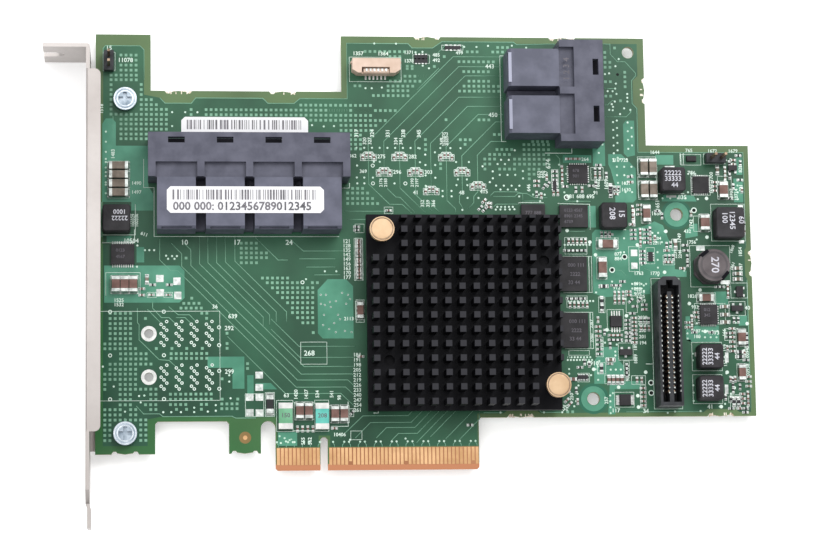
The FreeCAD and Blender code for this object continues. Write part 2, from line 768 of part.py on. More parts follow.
def socket_housing(ports):
    """The moulded housing: one row of mouths, latch windows over them and lowered rear panels."""
    left = -port_margin
    right = (ports - 1) * port_pitch + port_margin
    rear = -housing_depth
    housing = block(left, rear, 0, right, 0, housing_height)
    tools = []
    mouth_middle = mouth_floor + mouth_height / 2
    for port in range(ports):
        x = port * port_pitch
        tools.append(centred(x, -housing_panel_length / 2 + rear + housing_panel_length,
                             housing_height - housing_panel_depth, housing_panel_width,
                             housing_panel_length, housing_panel_depth + 1))
        tools.append(centred(x, -window_setback - window_length / 2, mouth_floor + mouth_height - 1,
                             window_width, window_length, housing_height))
        tools.append(block(x - mouth_width / 2, -mouth_depth, mouth_floor,
                           x + mouth_width / 2, 1, mouth_floor + mouth_height))
        for side in (-1, 1):
            z = mouth_middle + side * slot_spacing / 2
            tools.append(block(x - slot_width / 2, -mouth_depth - slot_depth, z - slot_height / 2,
                               x + slot_width / 2, -mouth_depth + 0.1, z + slot_height / 2))
    return housing.cut(tools).fuse([tail_rib(port) for port in range(ports - 1)])


def tail_rib(port):
    """The low rib that reaches back between two terminal modules."""
    left = port * port_pitch + module_width / 2 + tail_rib_clearance
    right = (port + 1) * port_pitch - module_width / 2 - tail_rib_clearance
    return block(left, -housing_depth - module_length + tail_rib_setback, 0, right, -housing_depth,
                 tail_rib_height)


def terminal_module(port):
    """The wafer block behind one port, with the stepped rear edge that organises its tails."""
    rear = -housing_depth
    back = rear - module_length
    points = [
        (rear, 0), (rear, module_height), (back + module_chamfer, module_height),
        (back, module_height - module_chamfer), (back, 0),
    ]
    x = port * port_pitch
    half = module_width / 2
    module = profile_along_x(points, x - half, x + half)
    inset = 1.1
    step = block(x - half + inset, back - 1, module_height - module_chamfer - 0.9,
                 x + half - inset, back + module_rib, module_height + 1)
    return module.cut(step)


def socket_contacts(ports):
    """The row of contacts in each slot, as one strip on the slot's outer wall."""
    strips = []
    mouth_middle = mouth_floor + mouth_height / 2
    half = socket_strip_width / 2
    rear = -mouth_depth - slot_depth
    for port in range(ports):
        x = port * port_pitch
        for side in (-1, 1):
            wall = mouth_middle + side * (slot_spacing + slot_height) / 2
            z0, z1 = sorted((wall, wall - side * socket_strip_thickness))
            strips.append(block(x - half, rear, z0, x + half, rear + socket_strip_length, z1))
    return strips


def place_quad(shape):
    shape.translate(Vector(quad_first_port, quad_mating_edge, 0))
    return shape


def place_dual(shape):
    """Turned so that the mating face points towards +X and the ports run down the card."""
    shape.rotate(Vector(0, 0, 0), Vector(0, 0, 1), -90)
    shape.translate(Vector(dual_mating_edge, dual_first_port + (dual_ports - 1) * port_pitch, 0))
    return shape


# ------------------------------------------------------------------ small connectors

def cable_socket_housing():
    """A pale moulding with a contact slot at its front and stepped front corners."""
    x0, x1 = (upper_start + x for x in cable_x)
    y0, y1 = (board_height + y for y in cable_y)
    middle = (x0 + x1) / 2 - cable_slot_offset
    housing = slab([(x0, y1, 0), (x0, y0 + 0.9, 0), (x0 + 1.4, y0, 0), (x1 - 1.4, y0, 0),
                    (x1, y0 + 0.9, 0), (x1, y1, 0)], 0, cable_height)
    slot = block(middle - cable_slot_length / 2, y0 - 1, cable_height - cable_slot_depth,
                 middle + cable_slot_length / 2, y0 + cable_slot_width, cable_height + 1)
    lip = block(middle - cable_slot_length / 2, y0, cable_height - cable_slot_depth,
                middle + cable_slot_length / 2, y0 + cable_step, cable_height - 1.4)
    ears = [block(x - 0.3, y1 - 1.1, 1.2, x + 0.3, y1 - 0.5, 2.6) for x in (x0, x1)]
    return housing.cut(slot).fuse([lip] + ears)


def cable_socket_contacts():
    """Bent contacts: a blade in the slot, a foot under the front wall and a tail on the board."""
    y0 = board_height + cable_y[0]
    middle = upper_start + sum(cable_x) / 2
    contacts = []
    for number in range(cable_contacts):
        x = middle + (number - (cable_contacts - 1) / 2) * cable_pitch
        half = cable_contact_width / 2
        blade = block(x - half, y0 + cable_step, cable_height - cable_slot_depth, x + half,
                      y0 + cable_slot_width - 0.3, cable_height - 0.6)
        contacts.append(blade)
        contacts.append(block(x - half, y0 - cable_tail, 0, x + half, y0, lead_thickness))
    return contacts


def stack_box():
    """The stacking connector's sides: lowest and highest X, then Y."""
    return (*(board_length + x for x in stack_x), *(lower_edge + y for y in stack_y))


def stack_housing():
    """A tall slotted header: thin walls, a central tongue and a keyway at its upper end."""
    x0, x1, y0, y1 = stack_box()
    middle = (x0 + x1) / 2
    body = slab([(x0, y0, 0), (x1, y0, 0), (x1, y1 - stack_cut, 0), (x1 - stack_cut, y1, 0),
                 (x0 + stack_cut, y1, 0), (x0, y1 - stack_cut, 0)], 0, stack_height)
    cavity_end = y1 - stack_end_wall - stack_key_length
    cavity = block(x0 + stack_wall, y0 + stack_end_wall, stack_floor, x1 - stack_wall, cavity_end,
                   stack_height + 1)
    keyway = centred(middle, cavity_end, stack_floor, stack_key_width, 2 * stack_key_length,
                     stack_height)
    tongue = block(middle - stack_tongue / 2, y0 + stack_end_wall, stack_floor,
                   middle + stack_tongue / 2, cavity_end - stack_end_gap,
                   stack_height - stack_tongue_drop)
    return body.cut([cavity, keyway]).fuse(tongue)


def stack_connector_contacts():
    """Two columns of contacts, one on each side of the tongue."""
    contacts = []
    x0, x1, y0, y1 = stack_box()
    x = (x0 + x1) / 2
    y = (y0 + y1) / 2 - stack_contact_shift
    for side in (-1, 1):
        face = x + side * stack_tongue / 2
        low, high = sorted((face, face + side * stack_contact_thickness))
        for number in range(stack_contacts):
            middle = y + (number - (stack_contacts - 1) / 2) * stack_pitch
            contacts.append(block(low, middle - stack_contact_width / 2, stack_floor, high,
                                  middle + stack_contact_width / 2, stack_height - 0.9))
    return contacts


def header_pin_places():
    """The four pins of the two headers: the jumper's in a column, the alarm's in a row."""
    half = header_pitch / 2
    x, y = jumper_centre
    places = [(x, y - half), (x, y + half)]
    x, y = alarm_centre
    return places + [(x - half, y), (x + half, y)]


def header_body(centre, pins, upright):
    """The insulator of a two-pin header, with a hole that fits each pin."""
    length = 2 * header_pitch
    width, depth = (header_width, length) if upright else (length, header_width)
    body = centred(*centre, 0, width, depth, header_height)
    return body.cut([centred(x, y, -1, header_pin, header_pin, header_height + 2) for x, y in pins])


def header_pins(pins):
    """Square posts."""
    low = board_back - header_pin_drop
    return [centred(x, y, low, header_pin, header_pin, header_pin_rise - low) for x, y in pins]


# ------------------------------------------------------------------ chokes

def moulded_choke(x, y, width, depth, height):
    """A pressed-powder choke: cut corners and a narrow bevel round its top."""
    body = cornered(x - width / 2, y - depth / 2, x + width / 2, y + depth / 2, choke_corner, 0,
                    height)
    top = [edge for edge in body.Edges if edge.BoundBox.ZMin > height - 0.01]
    return body.makeChamfer(choke_edge, top)


def drum_choke_base():
    """The octagonal base plate of the drum choke."""
    x, y = from_anchor("far_upper", *drum_offset)
    half = drum_base_size / 2
    return cornered(x - half, y - half, x + half, y + half, drum_base_cut, 0, drum_base_height)


def drum_choke_core():
    return rod(*from_anchor("far_upper", *drum_offset), drum_base_height, drum_height, drum_diameter)


# ------------------------------------------------------------------ surface-mount parts

def fuse(x, y, width, length, height):
    """A fuse's body and its two metal ends, which are a little proud of it."""
    lip = fuse_terminal_lip
    body = centred(x, y, lip, width - 2 * lip, length - 2 * fuse_terminal, height - 2 * lip)
    reach = (length - fuse_terminal) / 2
    ends = [centred(x, y + side * reach, 0, width, fuse_terminal, height) for side in (-1, 1)]
    return body, ends


def chip(x, y, width, length, height, upright):
    """A chip component lying along Y when upright on the drawing, and along X otherwise."""
    w, d = (width, length) if upright else (length, width)
    return centred(x, y, 0, w, d, height)


def small_chips(table):
    """Every chip of rows of like chips."""
    chips = []
    for x, y, step_x, step_y, length, upright in placed(table):
        steps = round(length / math.hypot(step_x, step_y))
        for number in range(steps + 1):
            chips.append(chip(x + number * step_x, y + number * step_y, small_chip_width,
                              small_chip_length, small_chip_height, upright))
    return chips


def small_capacitors():
    """The column along the heatsink, and the four capacitors of each cluster."""
    clusters = []
    for x, y in coupling_clusters:
        for reach, rise in (cluster_pair, cluster_flank):
            clusters.append((x - reach, y + rise, 2 * reach, 0, 2 * reach, True))
    return small_chips(small_capacitor_rows) + small_chips({"board": clusters})


def leaded_package(x, y, width, depth, height, lift=package_lift):
    """A moulded package whose upper half is drafted."""
    step = height * 0.45
    lower = centred(x, y, lift, width, depth, step)
    upper = centred(x, y, lift + step, width - 2 * package_draft, depth - 2 * package_draft,
                    height - step - lift)
    return lower.fuse(upper)


def package_leads(x, y, depth, pitch, length, foot):
    """The leads on the two Y sides of a package, as flat strips on the board."""
    leads = []
    for side in (-1, 1):
        for number in range(round(length / pitch) + 1):
            offset = number * pitch - length / 2
            leads.append(centred(x + offset, y + side * (depth + foot) / 2, 0, lead_width, foot,
                                 lead_thickness))
    return leads


def diode():
    """The status diode next to the alarm header."""
    return leaded_package(*from_anchor("far_upper", *diode_offset), diode_width, diode_depth,
                          diode_height, 0)


def label(corners, z):
    """An adhesive label near the quad socket, on a surface at height z."""
    x0, y0, x1, y1 = corners
    return cornered(quad_first_port + x0, quad_mating_edge + y0, quad_first_port + x1,
                    quad_mating_edge + y1, label_corner, z, z + label_thickness)


# ------------------------------------------------------------------ write the nodes

def save_sockets():
    for prefix, ports, place in (("quad", quad_ports, place_quad), ("dual", dual_ports, place_dual)):
        save(prefix + "_socket_housing", place(socket_housing(ports)))
        save(prefix + "_terminal_modules", [place(terminal_module(port)) for port in range(ports)])
        save(prefix + "_socket_contacts", [place(contact) for contact in socket_contacts(ports)])


def save_chips():
    for name, rows in chip_places.items():
        chips = [from_anchor(*row) for row in rows]
        save(name, [centred(x, y, 0, w, d, h) for x, y, w, d, h in chips])
    leads = []
    for name, (x, y, w, d, h, pitch, length, foot) in leaded_places.items():
        turn = 90 if name in turned_packages else 0
        save(name, turned(leaded_package(x, y, w, d, h), x, y, turn))
        leads += [turned(lead, x, y, turn) for lead in package_leads(x, y, d, pitch, length, foot)]
    save("package_leads", leads)
    save("transistors", [centred(x, y, 0, w, d, h) for x, y, w, d, h in placed(transistor_places)])
    save("status_diode", diode())


def save_passives():
    save("capacitors_tan", [chip(*row) for row in placed(tan_capacitors)])
    save("capacitors_brown", [chip(*row) for row in placed(brown_capacitors)])
    terminals = []
    for name, row in fuse_places.items():
        body, ends = fuse(*from_anchor("tongue", *row))
        save(name, body)
        terminals += ends
    save("fuse_terminals", terminals)
    save("small_capacitors", small_capacitors())
    save("small_resistors", small_chips(small_resistor_rows))
    save("resistor_arrays", [centred(x, y, 0, w, d, h) for x, y, w, d, h in placed(array_places)])


def save_chokes():
    for name, row in choke_places.items():
        save(name, moulded_choke(*from_anchor(*row)))
    save("drum_choke_base", drum_choke_base())
    save("drum_choke_core", drum_choke_core())


def main():
    os.makedirs("parts", exist_ok=True)
    save("circuit_board", circuit_board())
    save("edge_contacts_front", edge_contacts(contact_plating))
    save("edge_contacts_back", edge_contacts(board_back))
    save("bracket", bracket())
    for name, y in zip(("bracket_screw_lower", "bracket_screw_upper"), screw_ys):
        save(name, bracket_screw(y))
    save("controller_package", controller_package())
    save("thermal_pad", thermal_pad())
    save("heatsink", heatsink())
    for name, (x, y) in zip(("upper", "lower"), push_pins):
        save("push_pin_" + name, push_pin(x, y))
        save("push_pin_spring_" + name, push_pin_spring(x, y))
    save_sockets()
    save("cable_socket_housing", cable_socket_housing())
    save("cable_socket_contacts", cable_socket_contacts())
    save("stacking_connector", stack_housing())
    save("stacking_connector_contacts", stack_connector_contacts())
    pins = header_pin_places()
    save("jumper_header_body", header_body(jumper_centre, pins[:2], True))
    save("jumper_header_pins", header_pins(pins[:2]))
    save("alarm_header_body", header_body(alarm_centre, pins[2:], False))
    save("alarm_header_pins", header_pins(pins[2:]))
    save_chokes()
    save_chips()
    save_passives()
    save("label_large", label(label_large, module_height))
    save("label_small", label(label_small, 0))


main()
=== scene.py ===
"""Storage controller card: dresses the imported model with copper, legend, labels and finishes.

Places on the board are written in millimetres from the board's lower left corner, X along the card
and Y from the tip of the edge connector, with Z = 0 on the component side.
"""

import json
import math
import random

import bmesh
import bpy
from bpy.props import FloatProperty, FloatVectorProperty, PointerProperty
from mathutils import Matrix, Vector


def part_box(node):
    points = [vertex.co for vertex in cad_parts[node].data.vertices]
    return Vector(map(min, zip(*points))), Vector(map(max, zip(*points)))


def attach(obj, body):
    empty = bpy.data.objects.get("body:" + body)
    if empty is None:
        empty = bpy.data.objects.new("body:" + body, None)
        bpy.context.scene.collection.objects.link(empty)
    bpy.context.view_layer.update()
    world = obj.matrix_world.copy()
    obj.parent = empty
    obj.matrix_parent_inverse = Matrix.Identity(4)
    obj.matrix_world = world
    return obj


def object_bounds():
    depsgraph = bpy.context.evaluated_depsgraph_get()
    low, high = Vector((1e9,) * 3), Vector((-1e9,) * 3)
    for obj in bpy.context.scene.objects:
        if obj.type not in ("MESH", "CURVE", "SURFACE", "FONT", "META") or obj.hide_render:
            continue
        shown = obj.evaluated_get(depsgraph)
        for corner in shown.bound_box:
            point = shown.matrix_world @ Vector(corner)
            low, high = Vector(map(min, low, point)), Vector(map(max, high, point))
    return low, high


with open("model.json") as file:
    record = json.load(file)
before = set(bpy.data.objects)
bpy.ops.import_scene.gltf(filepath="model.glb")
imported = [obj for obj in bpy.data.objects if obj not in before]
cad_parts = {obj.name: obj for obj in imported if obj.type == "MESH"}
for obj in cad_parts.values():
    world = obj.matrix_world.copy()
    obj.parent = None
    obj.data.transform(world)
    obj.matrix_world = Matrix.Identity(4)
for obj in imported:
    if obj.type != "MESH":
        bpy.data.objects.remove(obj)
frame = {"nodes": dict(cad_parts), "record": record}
cad_bounds = [list(corner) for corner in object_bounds()]

bl_info = {
    "name": "Controller card dresser",
    "version": (1, 0, 0),
    "blender": (4, 5, 0),
    "location": "View3D > Sidebar > Card",
    "description": "Adds copper, legend, labels, small parts and finishes to a controller card",
    "category": "Object",
}

MM = 0.001
BOARD_LOW, BOARD_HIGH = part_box("circuit_board")
BOARD_THICKNESS = (BOARD_HIGH.z - BOARD_LOW.z) / MM


def at(x, y, z=0.0):
    """A place on the card, in metres."""
    return Vector((BOARD_LOW.x + x * MM, BOARD_LOW.y + y * MM, BOARD_HIGH.z + z * MM))


def card_box(node):
    """A node's lowest and highest corner, in millimetres on the card."""
    low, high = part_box(node)
    base = at(0, 0)
    return [(corner - base) / MM for corner in (low, high)]


def round_box(node):
    """Middle, radius and top of an upright round node, in millimetres on the card."""
    low, high = card_box(node)
    return (low.x + high.x) / 2, (low.y + high.y) / 2, (high.x - low.x) / 2, high.z


# ------------------------------------------------------------------ settings


class BoardSettings(bpy.types.PropertyGroup):
    """Colours of the board, and how far copper and ink stand on it"""

    mask: FloatVectorProperty(
        name="Solder mask", description="Mask over the inner planes", subtype="COLOR", size=3,
        default=(0.023, 0.096, 0.050), min=0, max=1)
    mask_on_bare: FloatVectorProperty(
        name="Mask at the border", description="Mask where no plane lies below", subtype="COLOR",
        size=3, default=(0.088, 0.150, 0.062), min=0, max=1)
    mask_on_copper: FloatVectorProperty(
        name="Mask over copper", description="Mask over pours and tracks", subtype="COLOR", size=3,
        default=(0.165, 0.34, 0.235), min=0, max=1)
    legend: FloatVectorProperty(
        name="Legend", description="Printed outlines and digits", subtype="COLOR", size=3,
        default=(0.70, 0.84, 0.75), min=0, max=1)
    laminate: FloatVectorProperty(
        name="Laminate", description="Bare glass laminate at cut edges", subtype="COLOR", size=3,
        default=(0.30, 0.29, 0.13), min=0, max=1)
    copper_height: FloatProperty(
        name="Copper height", description="How far copper stands out under the mask",
        default=0.00003, min=0.00001, max=0.0002, subtype="DISTANCE", unit="LENGTH")
    legend_height: FloatProperty(
        name="Legend height", description="Top of the printed ink over the laminate",
        default=0.00006, min=0.00001, max=0.0002, subtype="DISTANCE", unit="LENGTH")


class StageSettings(bpy.types.PropertyGroup):
    """Light and lens of the stage"""

    lamp_power: FloatProperty(
        name="Key lamp power", description="Power of the large soft lamp", default=6.0, min=0,
        max=100, subtype="POWER", unit="POWER")
    world_strength: FloatProperty(
        name="World strength", description="Light from all around", default=0.72, min=0, max=5)
    lens: FloatProperty(
        name="Lens", description="Focal length of the camera", default=119.4, min=20, max=300,
        unit="CAMERA")


# ------------------------------------------------------------------ mesh helpers


def finish_piece(name, bm, material, merge=False):
    """Turns a bmesh into a finished piece of the card."""
    if merge:
        bmesh.ops.remove_doubles(bm, verts=bm.verts, dist=1e-7)
    bmesh.ops.recalc_face_normals(bm, faces=bm.faces)
    mesh = bpy.data.meshes.new(name)
    bm.to_mesh(mesh)
    bm.free()
    return finish_mesh(name, mesh, material)


def finish_mesh(name, mesh, material):
    """Puts a mesh on the card as a piece with one material."""
    piece = bpy.data.objects.new(name, mesh)
    bpy.context.scene.collection.objects.link(piece)
    mesh.materials.clear()
    mesh.materials.append(material)
    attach(piece, "root")
    return piece


def add_block(bm, x0, y0, z0, x1, y1, z1, angle=0.0):
    """A block between two corners, turned about its own middle."""
    middle = at((x0 + x1) / 2, (y0 + y1) / 2, (z0 + z1) / 2)
    size = Matrix.Diagonal(((x1 - x0) * MM, (y1 - y0) * MM, (z1 - z0) * MM, 1))
    turn = Matrix.Rotation(math.radians(angle), 4, "Z")
    return bmesh.ops.create_cube(bm, size=1, matrix=Matrix.Translation(middle) @ turn @ size)


def add_disc(bm, x, y, z0, z1, radius, sides=16, top=None):
    """An upright disc or cone."""
    bmesh.ops.create_cone(
        bm, cap_ends=True, segments=sides, radius1=radius * MM,
        radius2=(radius if top is None else top) * MM, depth=(z1 - z0) * MM,
        matrix=Matrix.Translation(at(x, y, (z0 + z1) / 2)))


def add_ring(bm, x, y, z0, z1, outer, inner, sides=16):
    """A flat ring with a square section."""
    section = ((inner, z0), (outer, z0), (outer, z1), (inner, z1))
    corners = [bm.verts.new(at(x + r, y, z)) for r, z in section]
    edges = [bm.edges.new((corners[i], corners[(i + 1) % 4])) for i in range(4)]
    bmesh.ops.spin(bm, geom=corners + edges, cent=at(x, y), axis=(0, 0, 1), angle=2 * math.pi,
                   steps=sides, use_merge=True)


def curve_mesh(curve):
    """The mesh of a curve; the curve is used up."""
    holder = bpy.data.objects.new("curve", curve)
    bpy.context.scene.collection.objects.link(holder)
    mesh = bpy.data.meshes.new_from_object(holder.evaluated_get(
        bpy.context.evaluated_depsgraph_get()))
    bpy.data.objects.remove(holder)
    bpy.data.curves.remove(curve)
    return mesh


def add_spline(curve, route, closed):
    """Adds an (x, y) route on the board to a curve, as straight lines from point to point."""
    spline = curve.splines.new("POLY")
    spline.points.add(len(route) - 1)
    for point, (x, y) in zip(spline.points, route):
        point.co = (*at(x, y)[:2], 0, 1)
    spline.use_cyclic_u = closed


def finish_flat(name, mesh, material):
    """Finishes a piece that came from a curve, with its faces turned outwards."""
    bm = bmesh.new()
    bm.from_mesh(mesh)
    bpy.data.meshes.remove(mesh)
    return finish_piece(name, bm, material, True)


def add_strip_piece(name, routes, width, low, high, material, closed=False):
    """Flat strips with sloped sides along (x, y) routes, from low to high over the board."""
    curve = bpy.data.curves.new(name, "CURVE")
    curve.dimensions = "3D"
    curve.bevel_depth = width / 2 * MM
    curve.bevel_resolution = 0
    curve.use_fill_caps = True
    for route in routes:
        add_spline(curve, route, closed)
    mesh = curve_mesh(curve)
    squash = Matrix.Diagonal((1, 1, (high - low) / width * 2, 1))
    mesh.transform(Matrix.Translation((0, 0, BOARD_HIGH.z + low * MM)) @ squash)
    return finish_flat(name, mesh, material)


def add_flat(name, outlines, low, high, material):
    """A flat piece from low to high over the board; an outline inside another is a hole."""
    curve = bpy.data.curves.new(name, "CURVE")
    curve.dimensions = "2D"
    curve.fill_mode = "BOTH"
    curve.extrude = (high - low) / 2 * MM
    for outline in outlines:
        add_spline(curve, outline, True)
    mesh = curve_mesh(curve)
    mesh.transform(Matrix.Translation((0, 0, BOARD_HIGH.z + (low + high) / 2 * MM)))
    return finish_flat(name, mesh, material)


def add_digits(name, places, high, material, low=0.0, weight=0.02):
    """Plain digits, (text, x, y, height, angle) each, as one piece of printed ink."""
    bm = bmesh.new()
    for text, x, y, height, angle in places:
        curve = bpy.data.curves.new(name, "FONT")
        curve.body = text
        curve.size = height * 1.4 * MM
        curve.resolution_u = 2
        curve.extrude = (high - low) / 2 * MM
        curve.offset = height * weight * MM
        mesh = curve_mesh(curve)
        turn = Matrix.Rotation(math.radians(angle), 4, "Z")
        mesh.transform(Matrix.Translation(at(x, y, (low + high) / 2)) @ turn)
        bm.from_mesh(mesh)
        bpy.data.meshes.remove(mesh)
    return finish_piece(name, bm, material, True)


# ------------------------------------------------------------------ materials


def make_group(name, inputs, outputs):
    """An empty shader node group with named sockets."""
    group = bpy.data.node_groups.new(name, "ShaderNodeTree")
    for label, kind, value in inputs:
        socket = group.interface.new_socket(label, in_out="INPUT", socket_type=kind)
        socket.default_value = value
    for label, kind in outputs:
        group.interface.new_socket(label, in_out="OUTPUT", socket_type=kind)
    return group, group.nodes.new("NodeGroupInput"), group.nodes.new("NodeGroupOutput")


def grain_group():
    """Fine grain: a mask from 0 to 1 and a bumped normal."""
    if "fine_grain" in bpy.data.node_groups:
        return bpy.data.node_groups["fine_grain"]
    group, source, result = make_group(
        "fine_grain",
        [("Scale", "NodeSocketFloat", 1000.0), ("Depth", "NodeSocketFloat", 0.1)],
        [("Mask", "NodeSocketFloat"), ("Normal", "NodeSocketVector")])
    place = group.nodes.new("ShaderNodeTexCoord")
    noise = group.nodes.new("ShaderNodeTexNoise")
    noise.inputs["Detail"].default_value = 4
    bump = group.nodes.new("ShaderNodeBump")
    bump.inputs["Distance"].default_value = 0.0001
    link = group.links.new
    link(place.outputs["Object"], noise.inputs["Vector"])
    link(source.outputs["Scale"], noise.inputs["Scale"])
    link(noise.outputs["Fac"], bump.inputs["Height"])
    link(source.outputs["Depth"], bump.inputs["Strength"])
    link(noise.outputs["Fac"], result.inputs["Mask"])
    link(bump.outputs["Normal"], result.inputs["Normal"])
    return group


def patches_group():
    """Broad soft patches, for tone that drifts over a surface."""
    if "soft_patches" in bpy.data.node_groups:
        return bpy.data.node_groups["soft_patches"]
    group, source, result = make_group(
        "soft_patches",
        [("Scale", "NodeSocketFloat", 60.0), ("Low", "NodeSocketColor", (0, 0, 0, 1)),
         ("High", "NodeSocketColor", (1, 1, 1, 1))],
        [("Color", "NodeSocketColor"), ("Mask", "NodeSocketFloat")])
    place = group.nodes.new("ShaderNodeTexCoord")
    noise = group.nodes.new("ShaderNodeTexNoise")
    noise.inputs["Detail"].default_value = 3
    ramp = group.nodes.new("ShaderNodeMapRange")
    ramp.inputs["From Min"].default_value = 0.35
    ramp.inputs["From Max"].default_value = 0.65
    mix = group.nodes.new("ShaderNodeMix")
    mix.data_type = "RGBA"
    link = group.links.new
    link(place.outputs["Object"], noise.inputs["Vector"])
    link(source.outputs["Scale"], noise.inputs["Scale"])
    link(noise.outputs["Fac"], ramp.inputs["Value"])
    link(ramp.outputs["Result"], mix.inputs["Factor"])
    link(source.outputs["Low"], mix.inputs["A"])
    link(source.outputs["High"], mix.inputs["B"])
    link(mix.outputs["Result"], result.inputs["Color"])
    link(ramp.outputs["Result"], result.inputs["Mask"])
    return group


def place_group(material, group, **values):
    """A node group placed in a material with its own values."""
    node = material.node_tree.nodes.new("ShaderNodeGroup")
    node.node_tree = group
    for label, value in values.items():
        node.inputs[label].default_value = value
    return node


def finish(name, low, high, roughness=0.5, metallic=0.0, grain=1500.0, depth=0.1, patch=60.0,
           shine=0.3, spread=0.12):
    """A surface whose tone drifts between two colours, with fine grain in its gloss and relief."""
    material = bpy.data.materials.get(name)
    if material:
        return material
    material = bpy.data.materials.new(name)
    material.use_nodes = True
    nodes, link = material.node_tree.nodes, material.node_tree.links.new
    surface = nodes["Principled BSDF"]
    surface.inputs["Metallic"].default_value = metallic
    surface.inputs["Specular IOR Level"].default_value = shine
    tone = place_group(material, patches_group(), Scale=patch, Low=(*low, 1), High=(*high, 1))
    fine = place_group(material, grain_group(), Scale=grain, Depth=depth)
    gloss = nodes.new("ShaderNodeMapRange")
    gloss.inputs["To Min"].default_value = max(roughness - spread, 0.02)
    gloss.inputs["To Max"].default_value = min(roughness + spread, 1.0)
    link(tone.outputs["Color"], surface.inputs["Base Color"])
    link(fine.outputs["Mask"], gloss.inputs["Value"])
    link(gloss.outputs["Result"], surface.inputs["Roughness"])
    link(fine.outputs["Normal"], surface.inputs["Normal"])
    return material


def shade(colour, factor):
    """A colour made lighter or darker."""
    return tuple(min(channel * factor, 1.0) for channel in colour)


TIP_HEIGHT = 1.5                   # of the bare bevel at the tip of the edge connector
BARE_TIP = (0.50, 0.21, 0.105)

FADE_START = 35.0                  # along X + Y, at the bracket's lower end
FADE_END = 100.0


def fade_to_corner(material, dark):
    """Multiplies a material's tone by a darker one towards the bracket's lower end."""
    nodes, link = material.node_tree.nodes, material.node_tree.links.new
    target = nodes["Principled BSDF"].inputs["Base Color"]
    tone = target.links[0].from_socket
    place = nodes.new("ShaderNodeTexCoord")
    along = nodes.new("ShaderNodeVectorMath")
    along.operation = "DOT_PRODUCT"
    along.inputs[1].default_value = (1, 1, 0)
    span = nodes.new("ShaderNodeMapRange")
    origin = Vector((1, 1, 0)).dot(at(0, 0))
    span.inputs["From Min"].default_value = origin + FADE_END * MM
    span.inputs["From Max"].default_value = origin + FADE_START * MM
    mix = nodes.new("ShaderNodeMix")
    mix.data_type = "RGBA"
    mix.blend_type = "MULTIPLY"
    mix.inputs["B"].default_value = (*dark, 1)
    link(place.outputs["Object"], along.inputs[0])
    link(along.outputs["Value"], span.inputs["Value"])
    link(span.outputs["Result"], mix.inputs["Factor"])
    link(tone, mix.inputs["A"])
    link(mix.outputs["Result"], target)
    return material


def tip_material():
    """Black anodising, lighter on the pins' tips: partly their real cut face, partly painted light
    on the tops and painted shade below.
    """
    if "black_anodised" in bpy.data.materials:
        return bpy.data.materials["black_anodised"]
    material = finish("black_anodised", (0.0025, 0.0025, 0.004), (0.006, 0.006, 0.008), 0.55,
                      grain=1800, depth=0.12, patch=90, shine=0.12)
    nodes, link = material.node_tree.nodes, material.node_tree.links.new
    target = nodes["Principled BSDF"].inputs["Base Color"]
    tone = target.links[0].from_socket
    place = nodes.new("ShaderNodeTexCoord")
    axes = nodes.new("ShaderNodeSeparateXYZ")
    above = nodes.new("ShaderNodeMath")
    above.operation = "GREATER_THAN"
    above.inputs[1].default_value = card_box("heatsink")[1].z * MM + at(0, 0).z - 0.00002
    mix = nodes.new("ShaderNodeMix")
    mix.data_type = "RGBA"
    # lighter colour of the pins' tips, partly real cut face and partly painted light; the darker
    # tone below is painted shade
    mix.inputs["B"].default_value = (0.027, 0.027, 0.032, 1)
    link(place.outputs["Object"], axes.inputs["Vector"])
    link(axes.outputs["Z"], above.inputs[0])
    link(above.outputs["Value"], mix.inputs["Factor"])
    link(tone, mix.inputs["A"])
    link(mix.outputs["Result"], target)
    return material


def mask_material():
    """Green mask over laminate on both faces, bare laminate on the cut edges."""
    if "solder_mask" in bpy.data.materials:
        return bpy.data.materials["solder_mask"]
    board = bpy.context.scene.card_board
    material = finish("solder_mask", shade(board.mask_on_bare, 0.85),
                      shade(board.mask_on_bare, 1.15), 0.36, grain=900, depth=0.05, patch=45)
    fade_to_corner(material, (0.26, 0.80, 0.50))
    nodes, link = material.node_tree.nodes, material.node_tree.links.new
    surface = nodes["Principled BSDF"]
    tone = surface.inputs["Base Color"].links[0].from_socket
    geometry = nodes.new("ShaderNodeNewGeometry")
    split = nodes.new("ShaderNodeSeparateXYZ")
    upright = nodes.new("ShaderNodeMath")
    upright.operation = "ABSOLUTE"
    edge = nodes.new("ShaderNodeMapRange")
    edge.inputs["From Min"].default_value = 0.9
    edge.inputs["From Max"].default_value = 0.5
    mix = nodes.new("ShaderNodeMix")
    mix.data_type = "RGBA"
    mix.inputs["B"].default_value = (*board.laminate, 1)
    link(geometry.outputs["True Normal"], split.inputs["Vector"])
    link(split.outputs["Z"], upright.inputs[0])
    link(upright.outputs["Value"], edge.inputs["Value"])
    link(edge.outputs["Result"], mix.inputs["Factor"])
    link(tone, mix.inputs["A"])
    place = nodes.new("ShaderNodeTexCoord")
    axes = nodes.new("ShaderNodeSeparateXYZ")
    tip = nodes.new("ShaderNodeMath")
    tip.operation = "LESS_THAN"
    tip.inputs[1].default_value = at(0, TIP_HEIGHT).y
    bare = nodes.new("ShaderNodeMix")
    bare.data_type = "RGBA"
    bare.inputs["B"].default_value = (*BARE_TIP, 1)
    link(place.outputs["Object"], axes.inputs["Vector"])
    link(axes.outputs["Y"], tip.inputs[0])
    link(tip.outputs["Value"], bare.inputs["Factor"])
    link(mix.outputs["Result"], bare.inputs["A"])
    link(bare.outputs["Result"], surface.inputs["Base Color"])
    return material


def plane_material():
    """Mask over the inner planes; it looks darkest by the bracket's lower end."""
    if "masked_plane" in bpy.data.materials:
        return bpy.data.materials["masked_plane"]
    board = bpy.context.scene.card_board
    material = finish("masked_plane", shade(board.mask, 0.70), shade(board.mask, 1.20), 0.38,
                      grain=900, depth=0.05, patch=55)
    return fade_to_corner(material, (0.40, 0.70, 0.66))


